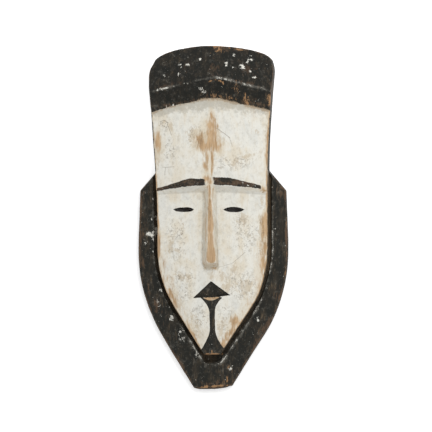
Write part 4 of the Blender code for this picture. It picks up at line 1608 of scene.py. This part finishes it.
def makePaintedWood(c):
    material, tree, shader, place = newMaterial("paintedWood")
    inputs = {"Place": place, "Light": c["woodLight"], "Dark": c["woodDark"], "Fibres": c["fibres"]}
    wood = useGroup(tree, groups["woodGrain"], inputs)
    fibre = wood.outputs["Fibre"]
    masks = {}

    def times(a, b):
        return mathNode(tree, "MULTIPLY", a, b)

    def spread(value, span):
        return ramp(tree, value, *paintSpans[span])

    def coated(under, layer, over):
        name, less, softness, raggedness, size, stretch, share = paintLayers[layer]
        strength = meshValue(tree, name)
        if less:
            strength = mathNode(tree, "SUBTRACT", strength, less)
        inputs = {"Place": place, "Strength": strength, "Softness": softness, "Raggedness": raggedness,
                  "Grain": size, "Stretch": stretch}
        masks[layer] = useGroup(tree, groups["raggedMask"], inputs).outputs[0]
        return mixColour(tree, times(masks[layer], share), under, over)

    # White: slow changes of tone, brushed streaks, dirt and specks
    tone = noiseAt(tree, place, *paintNoise["tone"])
    white = mixColour(tree, spread(tone, "cream"), c["white"], c["cream"])
    white = mixColour(tree, spread(tone, "cool"), white, c["cool"])
    brushed = noiseAt(tree, place, *paintNoise["brushed"])
    white = mixColour(tree, spread(brushed, "brushed"), white, c["cream"])
    dirtAt = meshValue(tree, "dirt")
    blotch = noiseAt(tree, place, *paintNoise["blotch"])
    blotched = times(spread(blotch, "blotch"), spread(dirtAt, "blotchByDirt"))
    white = mixColour(tree, blotched, white, c["dirt"])
    mottle = noiseAt(tree, place, *paintNoise["mottle"])
    mottled = times(spread(mottle, "mottle"), spread(dirtAt, "mottleByDirt"))
    white = mixColour(tree, mottled, white, c["mottle"])
    # Grey band below the hairline, and painted shade under the nose and on its flanks
    white = coated(white, "greyBandAndShade", c["greyBandAndShade"])
    # stains, and the painted shade under the nose's end
    white = coated(white, "stain", c["stain"])
    inputs = {"Place": place, "Amount": spread(dirtAt, "specksByDirt"), **c["specks"]}
    speckAt = useGroup(tree, groups["specks"], inputs).outputs[0]
    cracked = useGroup(tree, groups["crackle"], {"Place": place, "Grain": c["crackGrain"]}).outputs[0]
    white = mixColour(tree, times(cracked, spread(dirtAt, "cracksByDirt")), white, c["speck"])

    # Wood shows through the white where it is worn: thin paint first, then streaks of bare grain
    face = coated(white, "thinWhite", c["thinWhite"])
    face = coated(face, "wood", wood.outputs["Color"])
    grimy = times(spread(mottle, "grime"), spread(dirtAt, "grimeByDirt"))
    face = mixColour(tree, times(grimy, masks["wood"]), face, c["woodGrime"])
    face = mixColour(tree, times(speckAt, c["speckShare"]), face, c["speck"])

    # Black: brownish where thin, scraped to the wood, with chalk left on it
    thin = noiseAt(tree, place, *paintNoise["thin"])
    black = mixColour(tree, spread(thin, "thinBlack"), c["black"], c["blackWorn"])
    black = coated(black, "browned", c["brownWood"])
    black = coated(black, "browWorn", c["brownWood"])
    dusty = useGroup(tree, groups["specks"], {"Place": place, **c["dust"]}).outputs[0]
    black = mixColour(tree, times(dusty, c["dustShare"]), black, c["chalkThin"])
    grooveColour = mixColour(tree, spread(fibre, "groove"), c["blackWorn"], c["grooveBrown"])
    black = coated(black, "groove", grooveColour)
    for layer, colourName in (
        ("sootAndShade", "sootAndShade"),
        ("worn", "brownWood"),
        ("wornThrough", "orangeWood"),
        ("scraped", "orangeWood"),
        ("strokes", "orangeWood"),
        ("arrisThin", "chalkThin"),
        ("arrisThick", "chalk"),
        ("chalk", "chalk"),
    ):
        black = coated(black, layer, c[colourName])

    colour = coated(face, "black", black)
    colour = coated(colour, "hairTan", c["hairTan"])
    cracks = 0.0
    for start, end, width in scratches:
        inputs = {"Place": place, "Start": start, "End": end, "Width": width}
        cracks = mathNode(tree, "MAXIMUM", cracks, useGroup(tree, groups["scratch"], inputs).outputs[0])
    colour = mixColour(tree, times(cracks, c["scratchShare"]), colour, c["speck"])
    # Painted shade: the colour is darkened with the dirt tone in concave corners and creases, by the
    # mesh's bend
    corners = spread(meshValue(tree, "bend"), "corners")
    colour = mixColour(tree, corners, colour, c["dirt"], "MULTIPLY")
    tree.links.new(colour, shader.inputs["Base Color"])

    roughFace = ramp(tree, masks["wood"], 0.0, 1.0, c["roughPaint"], c["roughWood"])
    inputs = {0: masks["black"], 2: roughFace, 3: c["roughBlack"]}
    rough = addNode(tree, "ShaderNodeMix", inputs, data_type="FLOAT").outputs[0]
    tree.links.new(mathNode(tree, "ADD", rough, spread(thin, "sheen")), shader.inputs["Roughness"])

    height = times(fibre, c["fibreHeight"])
    for value, name in (
        (blotch, "blotchHeight"),
        (masks["wood"], "woodHeight"),
        (speckAt, "speckHeight"),
        (masks["chalk"], "chalkHeight"),
    ):
        height = mathNode(tree, "ADD", height, times(value, c[name]))
    bump = addNode(tree, "ShaderNodeBump", {"Height": height, **c["relief"]})
    tree.links.new(bump.outputs[0], shader.inputs["Normal"])
    shader.inputs["Specular IOR Level"].default_value = c["specular"]
    return material


hollowLooks = {
    "light": (0.33, 0.20, 0.105, 1),
    "dark": (0.17, 0.095, 0.048, 1),
    "stain": (0.075, 0.045, 0.028, 1),
    "dust": (0.42, 0.34, 0.25, 1),
    "roughness": 0.8,
    "roughnessSpread": 0.2,
    "fibres": 520.0,
    "stainNoise": (26.0, (1, 0.7, 1), 4.0),
    "stainSpan": (0.48, 0.66, 0.0, 0.75),
    "ridgeSpan": (0.02, 0.22, 0.0, 0.55),
    "spots": {"Grain": 380.0, "Amount": 0.55},
    "spotShare": 0.5,
    "relief": {"Strength": 0.7, "Distance": 0.0008},
}


def makeHollowWood(c):
    material, tree, shader, place = newMaterial("hollowWood")
    inputs = {"Place": place, "Light": c["light"], "Dark": c["dark"], "Fibres": c["fibres"]}
    wood = useGroup(tree, groups["woodGrain"], inputs)
    stains = noiseAt(tree, place, *c["stainNoise"])
    colour = mixColour(tree, ramp(tree, stains, *c["stainSpan"]), wood.outputs["Color"], c["stain"])
    ridges = ramp(tree, meshValue(tree, "bend"), *c["ridgeSpan"])
    colour = mixColour(tree, ridges, colour, c["dust"])
    spots = useGroup(tree, groups["specks"], {"Place": place, **c["spots"]}).outputs[0]
    colour = mixColour(tree, mathNode(tree, "MULTIPLY", spots, c["spotShare"]), colour, c["stain"])
    tree.links.new(colour, shader.inputs["Base Color"])
    uneven = mathNode(tree, "MULTIPLY", stains, c["roughnessSpread"])
    rough = mathNode(tree, "ADD", uneven, c["roughness"] - c["roughnessSpread"] / 2)
    tree.links.new(rough, shader.inputs["Roughness"])
    bump = addNode(tree, "ShaderNodeBump", {"Height": wood.outputs["Fibre"], **c["relief"]})
    tree.links.new(bump.outputs[0], shader.inputs["Normal"])
    return material


def makeFloor(s):
    half = s["floorSize"] / 2
    corners = [(-half, -half, 0), (half, -half, 0), (half, half, 0), (-half, half, 0)]
    floor = addMesh("paleFloor", corners, [(0, 1, 2, 3)])
    material, tree, shader, place = newMaterial("paleFloor")
    shader.inputs["Base Color"].default_value = s["floorColour"]
    shader.inputs["Roughness"].default_value = s["floorRoughness"]
    across, along = s["unlitFloor"]
    fromMask = vectorNode(tree, "MULTIPLY", place, (1 / across, 1 / along, 0))
    away = vectorNode(tree, "LENGTH", fromMask, None, "Value")
    glow = mixColour(tree, ramp(tree, away, *s["unlitEdge"]), (0, 0, 0, 1), s["roomColour"])
    tree.links.new(glow, shader.inputs["Emission Color"])
    up = addNode(tree, "ShaderNodeSeparateXYZ", {0: place}).outputs["Y"]
    tree.links.new(ramp(tree, up, *s["glowRise"], *s["floorGlow"]), shader.inputs["Emission Strength"])
    floor.data.materials.append(material)
    return floor


mask = buildMask([makePaintedWood(paintLooks), makeHollowWood(hollowLooks)])
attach(mask, "root")
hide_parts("mask")
print("mask painted")

makeFloor(lightSettings)
